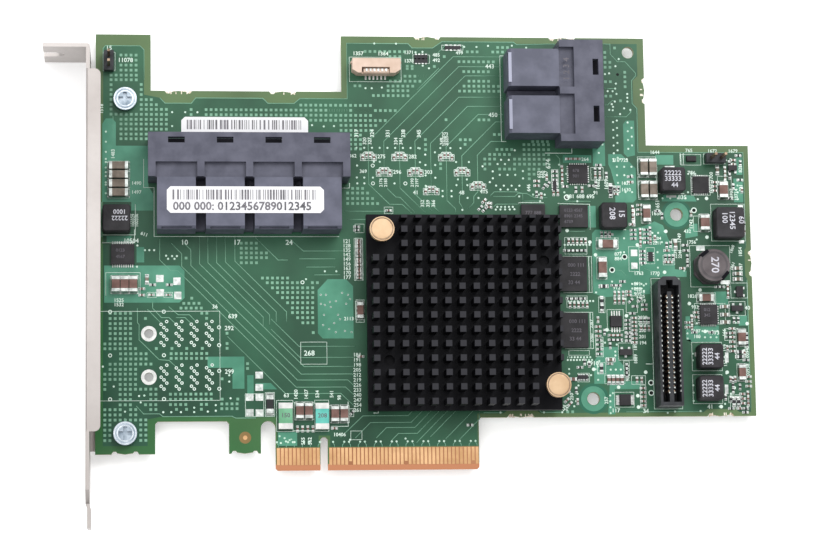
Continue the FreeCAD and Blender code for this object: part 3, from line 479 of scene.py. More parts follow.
def finishes():
    """Every material slot's finish, and those of the scene's own pieces."""
    board = bpy.context.scene.card_board
    copper = board.mask_on_copper
    return {
        "board": mask_material(),
        "plane": plane_material(),
        "clearing": finish("masked_clearing", (0.010, 0.095, 0.055), (0.016, 0.12, 0.07), 0.36,
                           grain=900, depth=0.05),
        "pour": finish("masked_pour", (0.042, 0.185, 0.115), (0.082, 0.28, 0.185), 0.36, grain=900,
                       depth=0.05, patch=120),
        "masked_copper": finish("masked_copper", shade(copper, 0.9), shade(copper, 1.15), 0.36,
                                grain=900, depth=0.05, patch=80),
        "via": finish("plugged_via", (0.42, 0.62, 0.50), (0.62, 0.78, 0.68), 0.4, patch=400),
        # near-black discs over holes: painted shade inside them
        "bore": finish("painted_shade_bore", (0.004, 0.006, 0.005), (0.010, 0.014, 0.012), 0.8),
        "laminate_open": finish("open_laminate", (0.30, 0.12, 0.05), (0.40, 0.18, 0.085), 0.6),
        "clear_laminate": finish("clear_laminate", (0.15, 0.085, 0.022), (0.24, 0.15, 0.05), 0.5),
        "legend": finish("legend_ink", shade(board.legend, 0.86), board.legend, 0.6, patch=300),
        "mark": finish("white_mark", (0.42, 0.42, 0.47), (0.60, 0.60, 0.66), 0.6, patch=600),
        "ink": finish("printed_ink", (0.10, 0.10, 0.11), (0.19, 0.18, 0.20), 0.6, patch=200),
        "fibre": finish("glass_fibre", (0.72, 0.62, 0.50), (0.86, 0.80, 0.70), 0.7, grain=2500,
                        depth=0.3, patch=500),
        "contact_gold": finish("gold_plating", (0.52, 0.30, 0.145), (0.70, 0.44, 0.235), 0.4, 1.0,
                               grain=1200, depth=0.08, patch=150),
        "bracket_steel": finish("nickel_plated_steel", (0.38, 0.35, 0.335), (0.47, 0.44, 0.425),
                                0.45, 1.0, grain=700, depth=0.06, patch=30),
        "screw_steel": finish("zinc_plated_screw", (0.20, 0.25, 0.30), (0.40, 0.46, 0.52), 0.35,
                              1.0, grain=900, depth=0.08, patch=400),
        "heatsink_black": tip_material(),
        # lighter metal for the painted highlights on the screws
        "painted_highlight_metal": finish("painted_highlight_metal", (0.42, 0.47, 0.52), (0.70, 0.74, 0.78), 0.25, 1.0,
                             patch=700),
        "pin_brass": finish("turned_brass", (0.46, 0.31, 0.185), (0.58, 0.42, 0.27), 0.45, 1.0,
                            grain=1400, depth=0.08, patch=160),
        "spring_steel": finish("spring_wire", (0.45, 0.45, 0.45), (0.55, 0.55, 0.55), 0.35, 1.0),
        "package_laminate": finish("green_laminate", (0.03, 0.10, 0.05), (0.04, 0.13, 0.07),
                                   0.45),
        "thermal_grey": finish("thermal_pad", (0.30, 0.30, 0.31), (0.36, 0.36, 0.37), 0.9),
        "chip_black": finish("moulded_chip", (0.014, 0.013, 0.015), (0.030, 0.028, 0.031), 0.6,
                             grain=3000, depth=0.3, patch=220),
        "socket_plastic": finish("socket_nylon", (0.062, 0.064, 0.092), (0.096, 0.098, 0.134),
                                 0.5, grain=1500, depth=0.15, patch=260),
        "module_plastic": finish("module_nylon", (0.078, 0.082, 0.116), (0.112, 0.116, 0.160),
                                 0.46, grain=1500, depth=0.12, patch=240),
        # lighter nylon for the painted highlight along the modules' edges
        "painted_highlight_nylon": finish("painted_highlight_nylon", (0.26, 0.27, 0.35), (0.36, 0.37, 0.47), 0.4),
        # near-black for painted shade, inside the cable ports and in the drum core's notches
        "painted_shade_black": finish("painted_shade_black", (0.006, 0.006, 0.008), (0.014, 0.014, 0.018), 0.8,
                             shine=0.04),
        "faint_mark": finish("faint_mark", (0.075, 0.070, 0.085), (0.125, 0.115, 0.135), 0.5,
                             patch=900),
        # dull gold of the header pins, also used as painted shade in the push pins' grooves
        "dull_gold_and_shade": finish("dull_gold_and_shade", (0.16, 0.11, 0.075), (0.34, 0.25, 0.18), 0.5, 1.0,
                            patch=500),
        "connector_beige": finish("beige_plastic", (0.54, 0.40, 0.31), (0.66, 0.51, 0.42), 0.5,
                                  grain=1500, depth=0.1, patch=300),
        "header_plastic": finish("black_plastic", (0.016, 0.018, 0.021), (0.036, 0.038, 0.044),
                                 0.5, grain=1500, depth=0.1, patch=400),
        "choke_grey": finish("pressed_ferrite", (0.012, 0.011, 0.013), (0.030, 0.028, 0.032),
                             0.6, grain=2600, depth=0.35, patch=260),
        "ferrite": finish("drum_ferrite", (0.045, 0.040, 0.043), (0.085, 0.076, 0.080), 0.45,
                          grain=2200, depth=0.2, patch=220),
        "drum_face": finish("drum_face", (0.070, 0.058, 0.062), (0.12, 0.103, 0.107), 0.45,
                            grain=2200, depth=0.2, patch=220),
        "ceramic_tan": finish("pale_ceramic", (0.13, 0.104, 0.080), (0.22, 0.18, 0.145), 0.5,
                              grain=2500, depth=0.1, patch=500),
        "ceramic_brown": finish("brown_ceramic", (0.125, 0.065, 0.052), (0.19, 0.105, 0.088),
                                0.5, grain=2500, depth=0.1, patch=500),
        "resistor_black": finish("resistor_glaze", (0.010, 0.010, 0.012), (0.022, 0.022, 0.025),
                                 0.45, grain=2500, depth=0.1),
        "tin": finish("tinned_metal", (0.46, 0.47, 0.46), (0.64, 0.64, 0.62), 0.42, 1.0,
                      grain=2200, depth=0.12, patch=600),
        "solder": finish("solder", (0.34, 0.37, 0.355), (0.64, 0.67, 0.645), 0.45, 1.0,
                         grain=1800, depth=0.2, patch=900),
        "fuse_green": finish("green_fuse_body", (0.11, 0.31, 0.17), (0.17, 0.41, 0.25), 0.45,
                             patch=300),
        "fuse_teal": finish("teal_fuse_body", (0.055, 0.36, 0.30), (0.12, 0.48, 0.41), 0.45,
                            patch=300),
        "label_white": finish("label_paper", (0.72, 0.72, 0.74), (0.78, 0.78, 0.80), 0.6,
                              grain=1500, depth=0.05),
    }


# pins whose gold looks dull, and their finish
DULL_NODES = ("jumper_header_pins", "alarm_header_pins", "stacking_connector_contacts")
DULL_PINS = "dull_gold_and_shade"


def slot_of(node):
    """The material slot that the record gives a node."""
    for entry in frame["record"]["subparts"]:
        if entry["node"] == node:
            return entry["material_slot"]
    raise ValueError("no material slot for " + node)


class CARD_OT_finishes(bpy.types.Operator):
    """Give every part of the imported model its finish"""

    bl_idname = "card.finishes"
    bl_label = "Finishes"

    def execute(self, context):
        looks = finishes()
        for node, piece in frame["nodes"].items():
            piece.data.materials.clear()
            piece.data.materials.append(looks[DULL_PINS if node in DULL_NODES else slot_of(node)])
        return {"FINISHED"}


# ------------------------------------------------------------------ board artwork


def rectangle(x0, y0, x1, y1):
    """An outline from corner to corner."""
    return [(x0, y0), (x1, y0), (x1, y1), (x0, y1)]


def circle(x, y, radius, sides=20):
    """A round outline with the given number of sides."""
    turns = [2 * math.pi * i / sides for i in range(sides)]
    return [(x + radius * math.cos(turn), y + radius * math.sin(turn)) for turn in turns]


def islands(node):
    """Boxes (x0, y0, x1, y1, top) in card millimetres of the separate solids of a node."""
    bm = bmesh.new()
    bm.from_mesh(frame["nodes"][node].data)
    bm.transform(frame["nodes"][node].matrix_world)
    bmesh.ops.remove_doubles(bm, verts=bm.verts, dist=1e-6)
    base = at(0, 0)
    waiting = set(bm.verts)
    boxes = []
    while waiting:
        group = [waiting.pop()]
        for vertex in group:
            for edge in vertex.link_edges:
                other = edge.other_vert(vertex)
                if other in waiting:
                    waiting.remove(other)
                    group.append(other)
        places = [(vertex.co - base) / MM for vertex in group]
        boxes.append((min(p.x for p in places), min(p.y for p in places),
                      max(p.x for p in places), max(p.y for p in places),
                      max(p.z for p in places)))
    bm.free()
    return sorted(boxes)


# holes through the board that its artwork keeps clear of: middle, radius
PLATED_HOLES = [(13.35, 34.55, 1.15), (13.35, 23.6, 1.15)]
STANDOFF_HOLES = [(148.4, 65.0, 1.6), (125.7, 17.6, 1.6)]
ALL_HOLES = PLATED_HOLES + STANDOFF_HOLES + [(136.8, 107.4, 1.5)]
HOLE_MARGIN = 0.1

# the inner planes' outline; the border outside it lets light through the bare laminate
PLANE = [
    (1.9, 6.4), (13.0, 6.4), (13.0, 13.0), (16.0, 13.6), (40.9, 13.4), (45.3, 13.4), (45.3, 5.9),
    (55.7, 5.9), (55.7, 8.7), (58.6, 8.7), (58.6, 5.9), (95.9, 5.9), (95.9, 14.0), (102.6, 14.0),
    (103.6, 14.8), (111.0, 14.8), (112.0, 14.0), (154.0, 14.0), (155.0, 14.8), (162.3, 14.8),
    (163.3, 14.0), (166.3, 14.0), (166.3, 48.4), (165.9, 49.0), (165.9, 55.8), (166.3, 56.4),
    (166.3, 81.2), (139.0, 81.2), (139.0, 92.7), (137.9, 94.0), (137.9, 100.0), (139.2, 101.3),
    (139.2, 109.7), (107.8, 109.5), (107.0, 109.9), (88.5, 109.9), (86.0, 108.2), (80.7, 108.2),
    (79.7, 109.3), (63.9, 109.3), (63.9, 94.8), (51.8, 94.8), (50.3, 93.5), (43.6, 93.5),
    (42.3, 94.8), (25.3, 94.8), (24.2, 93.4), (17.5, 93.4), (16.2, 94.8), (12.2, 95.6),
    (12.2, 107.2), (11.2, 108.2), (2.5, 108.2), (1.9, 107.5),
]

# bare laminate between the contacts, on either side of the key notch
FINGER_FIELDS = [(45.1, 1.3, 56.0, 5.7), (58.3, 1.3, 96.1, 5.7)]

GUARD_TRACES = [
    [(1.9, 101.5), (1.9, 107.5), (2.5, 108.2), (11.2, 108.2), (12.2, 107.2), (12.2, 99.5)],
    [(16.2, 94.8), (17.5, 93.4), (24.2, 93.4), (25.3, 94.8), (42.3, 94.8), (43.6, 93.5),
     (50.3, 93.5), (51.8, 94.8), (63.9, 94.8), (63.9, 109.3), (79.7, 109.3), (80.7, 108.2),
     (86.0, 108.2), (88.5, 109.9), (107.0, 109.9), (107.8, 109.3), (117.8, 109.5)],
    [(130.5, 109.6), (132.2, 109.6), (132.2, 107.0), (134.0, 105.0), (136.0, 105.0),
     (138.7, 102.0), (138.7, 101.3), (137.6, 100.0), (137.6, 94.0), (138.8, 92.7),
     (138.8, 81.2), (166.3, 81.2), (166.3, 57.0)],
    [(166.3, 48.0), (166.3, 15.0)],
    [(10.2, 16.4), (12.0, 14.4), (16.0, 14.4), (16.8, 13.7), (34.0, 13.7), (35.0, 13.2),
     (40.0, 13.2)],
    [(7.4, 13.4), (7.4, 12.0)],
    [(97.5, 14.2), (102.3, 14.2)],
    [(111.5, 15.0), (112.3, 14.2), (117.6, 14.2)],
    [(134.0, 14.2), (153.6, 14.2)],
]

# light pours on the component side, as outlines
POURS = [
    [(1.7, 68.0), (1.7, 88.0), (2.6, 89.4), (4.2, 89.4), (5.1, 88.4), (5.1, 82.4), (13.3, 82.4),
     (13.3, 72.0), (14.5, 70.0), (14.5, 65.8), (9.0, 65.8), (9.0, 68.0)],
    [(2.2, 42.4), (2.2, 51.8), (21.0, 51.8), (22.3, 50.5), (22.3, 43.6), (21.0, 42.4)],
    [(10.3, 52.6), (10.3, 56.5), (12.2, 56.5), (12.2, 52.6)],
    [(2.8, 57.6), (2.8, 59.3), (9.0, 59.3), (9.0, 57.6)],
    [(28.0, 25.9), (28.0, 28.7), (37.2, 28.7), (37.2, 20.6), (34.2, 20.6), (34.2, 25.9)],
    [(37.9, 19.0), (37.9, 24.0), (39.5, 24.0), (39.5, 19.0)],
    [(55.8, 45.5), (58.4, 48.3), (63.0, 48.3), (64.8, 46.5), (64.8, 33.2), (57.0, 33.2),
     (55.8, 34.5)],
    [(45.5, 6.2), (45.5, 9.6), (50.3, 9.6), (50.3, 6.2)],
    [(40.0, 20.4), (40.0, 22.0), (43.8, 22.0), (45.4, 20.4)],
    [(135.1, 80.9), (135.1, 88.6), (135.9, 89.5), (138.0, 89.5), (138.0, 80.4), (136.0, 80.0)],
    [(127.0, 77.6), (127.0, 83.6), (130.2, 83.6), (130.2, 77.6)],
    [(131.0, 80.7), (134.4, 80.7), (138.1, 77.0), (138.1, 69.0), (137.2, 68.1), (132.6, 68.1),
     (132.6, 72.6), (131.6, 76.6), (131.0, 78.0)],
    [(143.3, 78.0), (143.3, 80.5), (148.0, 80.5), (148.0, 78.0)],
    [(144.6, 68.4), (145.2, 70.0), (153.0, 70.0), (153.8, 68.4)],
    [(127.2, 61.0), (126.3, 60.0), (126.3, 44.6), (129.0, 43.6), (141.0, 44.4), (141.0, 48.6),
     (146.0, 48.8), (150.6, 48.8), (150.6, 50.4), (147.6, 50.8), (147.6, 57.0), (146.2, 58.4),
     (144.8, 62.2), (142.6, 63.2), (140.0, 62.0), (136.0, 61.0)],
    [(150.6, 58.8), (150.6, 60.6), (152.6, 62.6), (153.8, 62.6), (153.8, 59.4)],
    [(126.0, 21.4), (126.0, 27.0), (128.4, 30.8), (132.4, 30.8), (132.4, 27.4), (133.8, 25.8),
     (133.8, 23.6), (129.0, 23.6), (129.0, 21.4)],
    [(129.4, 13.6), (131.2, 13.6), (131.2, 20.0), (138.0, 20.0), (138.0, 22.0), (130.0, 22.0)],
    [(151.2, 32.0), (151.2, 34.6), (152.4, 36.2), (158.6, 36.2), (158.6, 32.0)],
    [(150.0, 32.6), (150.0, 38.6), (151.2, 38.6), (151.2, 32.6)],
    [(163.8, 36.2), (163.8, 38.8), (166.0, 38.8), (166.0, 36.2)],
    [(157.6, 41.4), (157.6, 45.0), (161.2, 45.0), (161.2, 41.4)],
    [(163.6, 68.2), (163.6, 74.4), (166.0, 74.4), (166.0, 68.2)],
    [(164.4, 75.4), (164.4, 80.0), (166.0, 80.0), (166.0, 75.4)],
    [(119.2, 78.4), (119.2, 80.4), (126.6, 80.4), (126.6, 78.4)],
    [(125.4, 61.6), (125.4, 67.2), (127.4, 67.2), (127.4, 61.6)],
]

# rows of small copper squares that even out the plating: X of the first, Y, how many
SQUARE_STEP = 1.27
SQUARE_HALF = 0.34
SQUARE_ROWS = [
    (6.4, 105.8, 4), (10.2, 104.5, 1), (6.4, 103.2, 4), (6.4, 101.9, 4), (3.9, 100.6, 6),
    (3.9, 99.4, 6), (3.9, 98.1, 1), (3.9, 96.8, 1), (3.9, 95.6, 1), (3.9, 94.3, 1),
    (3.9, 93.0, 1), (3.9, 91.8, 1), (11.5, 98.2, 1), (11.5, 96.9, 1), (11.5, 95.6, 1),
    (11.5, 94.3, 3), (11.5, 93.0, 4), (11.5, 91.8, 6), (3.9, 90.5, 12), (6.4, 89.2, 10),
    (6.4, 88.0, 10), (6.4, 86.7, 10), (6.4, 85.4, 6), (6.4, 84.2, 6), (24.1, 91.8, 1),
    (24.1, 90.5, 1), (27.9, 91.8, 34), (27.9, 90.5, 34), (52.0, 93.1, 15), (54.5, 89.2, 16),
    (62.2, 87.9, 8), (62.2, 86.6, 7), (64.6, 85.4, 3), (64.6, 84.2, 3), (64.6, 83.0, 3),
    (64.6, 81.8, 3), (65.0, 71.6, 3), (63.7, 70.4, 5), (63.7, 69.0, 6), (63.7, 67.7, 7),
    (65.9, 98.2, 2), (74.4, 98.2, 6), (74.4, 97.0, 5), (70.6, 95.7, 8), (78.8, 100.8, 5),
    (75.0, 99.5, 7), (68.6, 107.2, 9), (75.0, 105.9, 3), (79.4, 103.4, 2), (79.4, 102.8, 2),
    (66.0, 91.8, 9), (59.6, 91.8, 4), (36.6, 57.5, 4), (36.6, 56.2, 4), (36.6, 55.0, 6),
    (36.6, 53.8, 6), (36.6, 52.5, 4), (41.9, 48.6, 6), (43.1, 47.4, 7), (54.5, 47.4, 2),
    (44.4, 46.1, 9), (45.7, 44.9, 8), (46.9, 43.6, 7), (48.2, 42.3, 6), (49.4, 41.0, 5),
    (49.4, 39.8, 5), (50.7, 38.5, 4), (52.0, 37.2, 3), (54.6, 34.7, 1), (3.7, 39.7, 5),
    (3.7, 38.4, 5), (3.7, 37.1, 5), (3.7, 35.9, 5), (3.7, 34.6, 5), (3.7, 33.3, 5),
    (2.4, 32.0, 6), (2.4, 30.8, 7), (6.3, 29.5, 6), (6.3, 28.2, 6), (3.7, 26.9, 9),
    (3.7, 25.6, 6), (2.4, 24.4, 7), (2.4, 23.1, 7), (2.4, 21.8, 1), (6.2, 21.8, 4),
    (2.4, 20.6, 1), (6.2, 20.6, 8), (6.2, 19.3, 3), (13.8, 19.3, 2), (6.2, 18.0, 3),
    (13.8, 18.0, 2), (6.2, 16.7, 3), (12.5, 16.7, 3), (2.4, 15.5, 4), (8.8, 15.5, 2),
    (13.8, 15.5, 2), (2.4, 14.2, 4), (8.8, 14.2, 2), (2.4, 12.9, 9), (2.4, 11.7, 2),
    (11.3, 11.7, 2), (2.4, 10.4, 2), (11.3, 10.4, 2), (2.4, 9.1, 2), (11.3, 9.1, 2),
    (2.4, 7.8, 2), (11.3, 7.8, 2), (18.9, 29.5, 8), (18.9, 28.3, 8), (15.2, 30.8, 1),
    (19.1, 30.8, 1), (22.8, 30.8, 1), (26.7, 30.8, 1), (18.7, 19.3, 9), (18.7, 18.0, 9),
    (18.7, 16.7, 4), (26.4, 16.7, 2), (20.2, 15.5, 1), (22.7, 15.5, 1), (26.4, 15.5, 1),
    (31.5, 16.8, 4), (31.5, 15.6, 4), (31.6, 23.1, 1), (31.6, 18.0, 1), (35.5, 18.0, 1),
    (38.0, 26.9, 1), (38.0, 25.7, 1), (21.4, 41.0, 5), (22.1, 42.2, 4), (24.1, 43.5, 1),
    (26.6, 39.7, 2), (27.8, 38.4, 1), (12.5, 38.4, 1), (32.9, 34.6, 1), (32.9, 32.0, 1),
    (32.9, 30.8, 1), (22.7, 53.7, 1), (95.0, 107.3, 3), (101.6, 107.3, 3), (102.9, 108.5, 3),
    (92.8, 104.7, 8), (94.0, 102.1, 6), (95.3, 99.6, 5), (94.0, 98.3, 8), (92.8, 97.0, 9),
    (97.7, 89.5, 3), (101.6, 85.7, 2), (92.8, 84.3, 3), (94.0, 83.1, 1), (83.8, 84.3, 1),
    (83.8, 83.0, 1), (83.8, 81.7, 1), (87.6, 78.0, 1), (87.6, 76.8, 1), (102.2, 81.8, 4),
    (100.3, 80.5, 5), (99.0, 79.3, 3), (99.0, 78.0, 2), (99.0, 76.7, 1), (102.8, 76.7, 4),
    (106.7, 79.3, 8), (106.7, 78.0, 8), (110.4, 76.7, 3), (110.4, 75.4, 2), (109.2, 81.8, 6),
    (109.2, 80.5, 6), (109.2, 83.1, 6), (110.4, 74.2, 1), (130.8, 107.4, 1),
    (130.8, 106.1, 1), (130.8, 104.8, 2), (130.8, 103.5, 2), (130.8, 99.7, 2),
    (135.9, 102.2, 1), (135.9, 101.0, 1), (135.9, 99.7, 1), (135.9, 98.4, 1),
    (133.4, 108.6, 1), (134.6, 94.7, 1), (130.8, 95.9, 2), (119.0, 14.3, 2), (89.2, 89.5, 1),
    (89.0, 106.0, 1), (82.6, 100.8, 2), (86.4, 103.4, 1), (111.5, 83.9, 4),
]

# free-standing tracks, point by point
TRACKS = [
    [(10.5, 41.0), (10.5, 37.3), (10.9, 36.9), (10.9, 33.0), (15.9, 28.0), (18.4, 27.8),
     (20.3, 26.0)],
    [(13.0, 40.7), (16.3, 37.3)],
    [(14.3, 42.9), (14.3, 41.0), (16.5, 38.6), (18.4, 38.6), (20.3, 36.8)],
    [(18.3, 41.4), (20.7, 39.3), (23.5, 39.3), (25.3, 37.4)],
    [(20.1, 38.6), (22.4, 38.6), (24.0, 37.0)],
    [(16.1, 58.5), (16.1, 53.2), (18.8, 50.5), (20.6, 50.5), (50.2, 20.9), (62.6, 20.9),
     (65.2, 18.4)],
    [(19.0, 57.5), (21.6, 54.8), (21.6, 51.6), (50.5, 22.7), (63.2, 22.7), (65.2, 20.8)],
    [(21.5, 58.2), (23.9, 55.8), (23.9, 51.8), (51.5, 24.2), (64.3, 24.2), (65.2, 23.3)],
    [(26.1, 59.0), (26.1, 52.2), (52.2, 26.1), (65.0, 26.1)],
    [(28.2, 59.0), (28.2, 52.5), (42.0, 38.7), (42.0, 36.4)],
    [(30.4, 59.0), (30.4, 52.5), (43.6, 39.3), (43.6, 36.8)],
    [(32.6, 59.0), (32.6, 52.7), (45.3, 40.0), (45.3, 37.4)],
    [(35.0, 59.0), (35.0, 52.9), (47.9, 40.0), (47.9, 37.6)],
    [(33.0, 33.8), (47.5, 19.3), (61.4, 19.3), (64.6, 16.2)],
    [(44.0, 38.2), (51.0, 31.2), (65.0, 31.2)],
    [(44.0, 35.6), (51.2, 28.4), (65.0, 28.4)],
    [(49.0, 58.5), (52.3, 55.5), (62.3, 55.5)],
    [(51.2, 53.5), (60.4, 53.5)], [(53.0, 51.4), (60.4, 51.4)], [(55.0, 49.4), (61.6, 49.4)],
    [(40.2, 58.9), (45.9, 53.2), (48.4, 53.2)],
    [(69.1, 72.7), (74.4, 67.5), (77.6, 67.5), (80.0, 65.2)],
    [(73.8, 71.6), (76.0, 69.4), (77.1, 69.3), (80.8, 65.4)],
    [(77.1, 71.7), (83.5, 65.4)], [(81.1, 70.0), (85.2, 65.9)], [(84.4, 68.2), (87.0, 65.6)],
    [(89.1, 68.5), (91.2, 66.4), (91.2, 65.4)],
    [(93.1, 70.6), (92.3, 69.7), (92.3, 68.0), (93.4, 66.0)],
    [(97.1, 70.8), (96.0, 69.6), (96.0, 68.0), (94.3, 66.2)],
    [(100.2, 69.7), (101.3, 70.8), (107.1, 70.8), (108.6, 70.4), (108.6, 68.1)],
    [(101.0, 69.6), (106.6, 69.6), (107.4, 70.4), (109.6, 70.4), (111.6, 69.3), (115.0, 69.3)],
    [(101.0, 66.8), (101.8, 67.6), (107.6, 67.6)], [(109.0, 68.4), (113.1, 68.4)],
    [(63.0, 65.7), (73.0, 65.7)], [(63.8, 63.6), (69.0, 63.6)],
    [(61.2, 8.2), (66.9, 13.6), (78.3, 13.6), (79.6, 14.9)],
    [(64.9, 8.0), (68.8, 11.9), (79.1, 11.9), (82.1, 14.9)],
    [(70.2, 8.0), (72.8, 10.6), (80.0, 10.6), (84.3, 14.9)],
    [(74.1, 7.4), (75.8, 9.1), (80.6, 9.1), (86.4, 14.9)],
    [(80.4, 6.8), (88.5, 14.9)], [(83.9, 8.2), (90.6, 14.9)], [(87.7, 7.6), (95.0, 14.9)],
    [(91.2, 7.4), (96.4, 12.6), (96.4, 14.4)],
    [(130.4, 97.9), (133.2, 97.9)], [(130.4, 93.6), (131.2, 93.6), (132.4, 94.7), (133.0, 94.7)],
    [(130.4, 90.5), (136.0, 90.5), (137.2, 91.7), (137.2, 92.2)],
    [(132.0, 50.5), (133.6, 50.5), (134.9, 49.2)], [(139.6, 51.0), (141.9, 50.2), (143.8, 48.6)],
    [(117.4, 80.5), (118.4, 79.4), (118.4, 75.0)], [(87.6, 103.0), (81.8, 97.2)],
    [(87.0, 106.6), (89.2, 108.8), (93.8, 108.8)],
    [(119.5, 60.6), (124.6, 60.6)], [(126.2, 68.4), (119.4, 68.4)],
    [(1.6, 59.0), (1.6, 68.0)], [(4.4, 82.5), (4.4, 90.0)],
]

# the bus from the two-port socket: each track's column, where it turns off and its level
BUS_STEP = 4.0
BUS_START = 69.1
BUS_TURNS = [83.8, 83.8, 83.8, 83.9, 83.3, 82.5, 80.1, 80.3]
BUS_LEVELS = [106.0, 103.4, 101.0, 95.4, 93.0, 90.9, 89.0, 83.9]
BUS_ENDS = [72.7, 77.0, 71.7, 70.0, 70.0, 68.5, 70.6, 70.8]
BUS_STOP = 103.9
CLUSTER_LEVELS = [80.1, 76.1, 80.1, 76.1, 71.3, 80.1, 76.2, 72.5]

# small dots where tracks pass through the board
VIA_RADIUS = 0.27
VIAS = [
    (19.3, 91.1), (22.6, 91.1), (25.7, 91.1), (19.3, 87.5), (10.5, 56.9), (10.4, 51.5),
    (12.4, 55.7), (13.5, 55.7), (14.7, 55.7), (17.7, 54.3), (19.2, 54.2), (20.4, 54.2),
    (18.2, 53.5), (19.8, 53.5), (16.9, 14.8), (18.9, 14.8), (21.3, 14.8), (24.6, 15.9),
    (24.6, 14.8), (28.0, 14.9), (30.0, 16.5), (30.0, 15.1), (10.9, 18.9), (12.2, 19.0),
    (11.3, 17.3), (4.6, 21.3), (1.9, 26.3), (7.4, 15.0), (33.4, 24.0), (33.4, 22.4),
    (33.7, 18.2), (57.7, 50.3), (60.6, 50.3), (52.9, 48.3), (70.5, 78.5), (72.0, 78.5),
    (66.2, 77.5), (66.1, 74.4), (68.0, 74.4), (70.2, 74.4), (66.2, 72.9), (68.0, 72.9),
    (75.7, 72.9), (101.0, 76.1), (101.0, 74.3), (100.2, 73.3), (102.8, 75.2), (104.8, 75.2),
    (106.8, 75.2), (101.8, 72.4), (103.8, 72.4), (105.8, 72.4), (107.8, 72.4), (102.9, 71.4),
    (104.8, 71.4), (106.9, 71.4), (108.8, 76.2), (108.8, 74.3), (103.2, 79.1), (105.2, 79.1),
    (102.3, 78.0), (104.2, 78.0), (106.8, 81.6), (113.1, 68.4), (119.4, 70.7), (107.7, 69.6),
    (122.7, 68.4), (54.8, 87.9), (57.8, 87.6), (60.4, 87.7), (70.2, 97.6), (72.8, 97.8),
    (68.6, 97.6), (63.6, 7.6), (77.6, 7.8), (126.4, 25.1), (119.6, 25.2), (127.4, 27.2),
    (119.6, 28.2), (119.6, 24.0), (125.2, 23.6), (132.2, 20.5), (137.2, 18.2), (137.4, 15.3),
    (130.7, 19.0), (139.3, 24.4), (129.8, 35.1), (134.6, 38.7), (134.6, 43.1), (129.0, 31.9),
    (133.4, 32.3), (132.0, 31.4), (144.9, 50.1), (145.2, 60.6), (127.0, 54.5), (131.2, 47.6),
    (127.0, 44.8), (139.5, 61.2), (138.0, 57.0), (138.3, 56.8), (154.0, 45.3), (151.3, 41.9),
    (152.9, 36.8), (150.0, 50.4), (153.5, 58.5), (156.4, 59.2), (154.1, 69.0), (156.4, 69.1),
    (151.6, 70.8), (163.0, 36.9), (166.0, 36.8), (160.2, 23.9), (161.2, 18.7), (159.6, 16.1),
    (160.2, 27.9), (158.2, 15.4), (162.2, 20.3), (165.4, 15.4), (151.6, 29.0), (151.6, 27.3),
    (151.5, 20.9), (151.5, 19.0), (151.5, 16.9), (144.7, 13.9), (146.6, 14.2), (139.0, 14.2),
    (153.2, 14.3), (121.2, 17.0), (120.7, 15.7), (117.6, 14.2), (112.9, 14.2), (101.8, 14.2),
    (94.2, 108.6), (97.4, 108.6), (100.4, 108.9), (106.6, 109.0), (110.3, 108.5), (81.6, 107.1),
    (83.4, 107.2), (83.4, 103.6), (85.0, 102.9), (130.7, 101.7), (131.8, 101.9), (133.5, 103.8),
    (134.4, 105.7), (133.5, 99.2), (133.3, 97.9), (133.6, 96.5), (136.4, 96.5), (136.4, 95.5),
    (136.4, 94.5), (135.5, 92.7), (137.1, 92.3), (134.4, 91.2), (131.3, 97.2), (132.6, 97.2),
    (132.3, 93.8), (132.6, 93.1), (132.5, 92.2), (131.6, 92.3), (133.1, 94.5),
    (93.0, 66.1), (98.4, 77.4), (128.6, 81.0), (129.6, 83.2), (129.2, 85.2),
]

# larger round test pads
TEST_PAD_RADIUS = 0.46
TEST_PADS = [
    (156.4, 69.2), (156.2, 59.1), (154.0, 45.4), (151.1, 41.9), (166.0, 36.7), (144.9, 50.0),
    (155.0, 34.7), (160.1, 28.1), (162.1, 20.2), (158.6, 15.4), (161.3, 17.8), (160.4, 24.2),
    (132.2, 20.5), (137.1, 18.3), (137.2, 15.4), (125.9, 25.1), (139.3, 24.3), (129.6, 35.2),
    (138.0, 57.1), (127.1, 54.5), (134.7, 38.8), (145.5, 60.6), (125.7, 57.8), (119.9, 60.8),
]

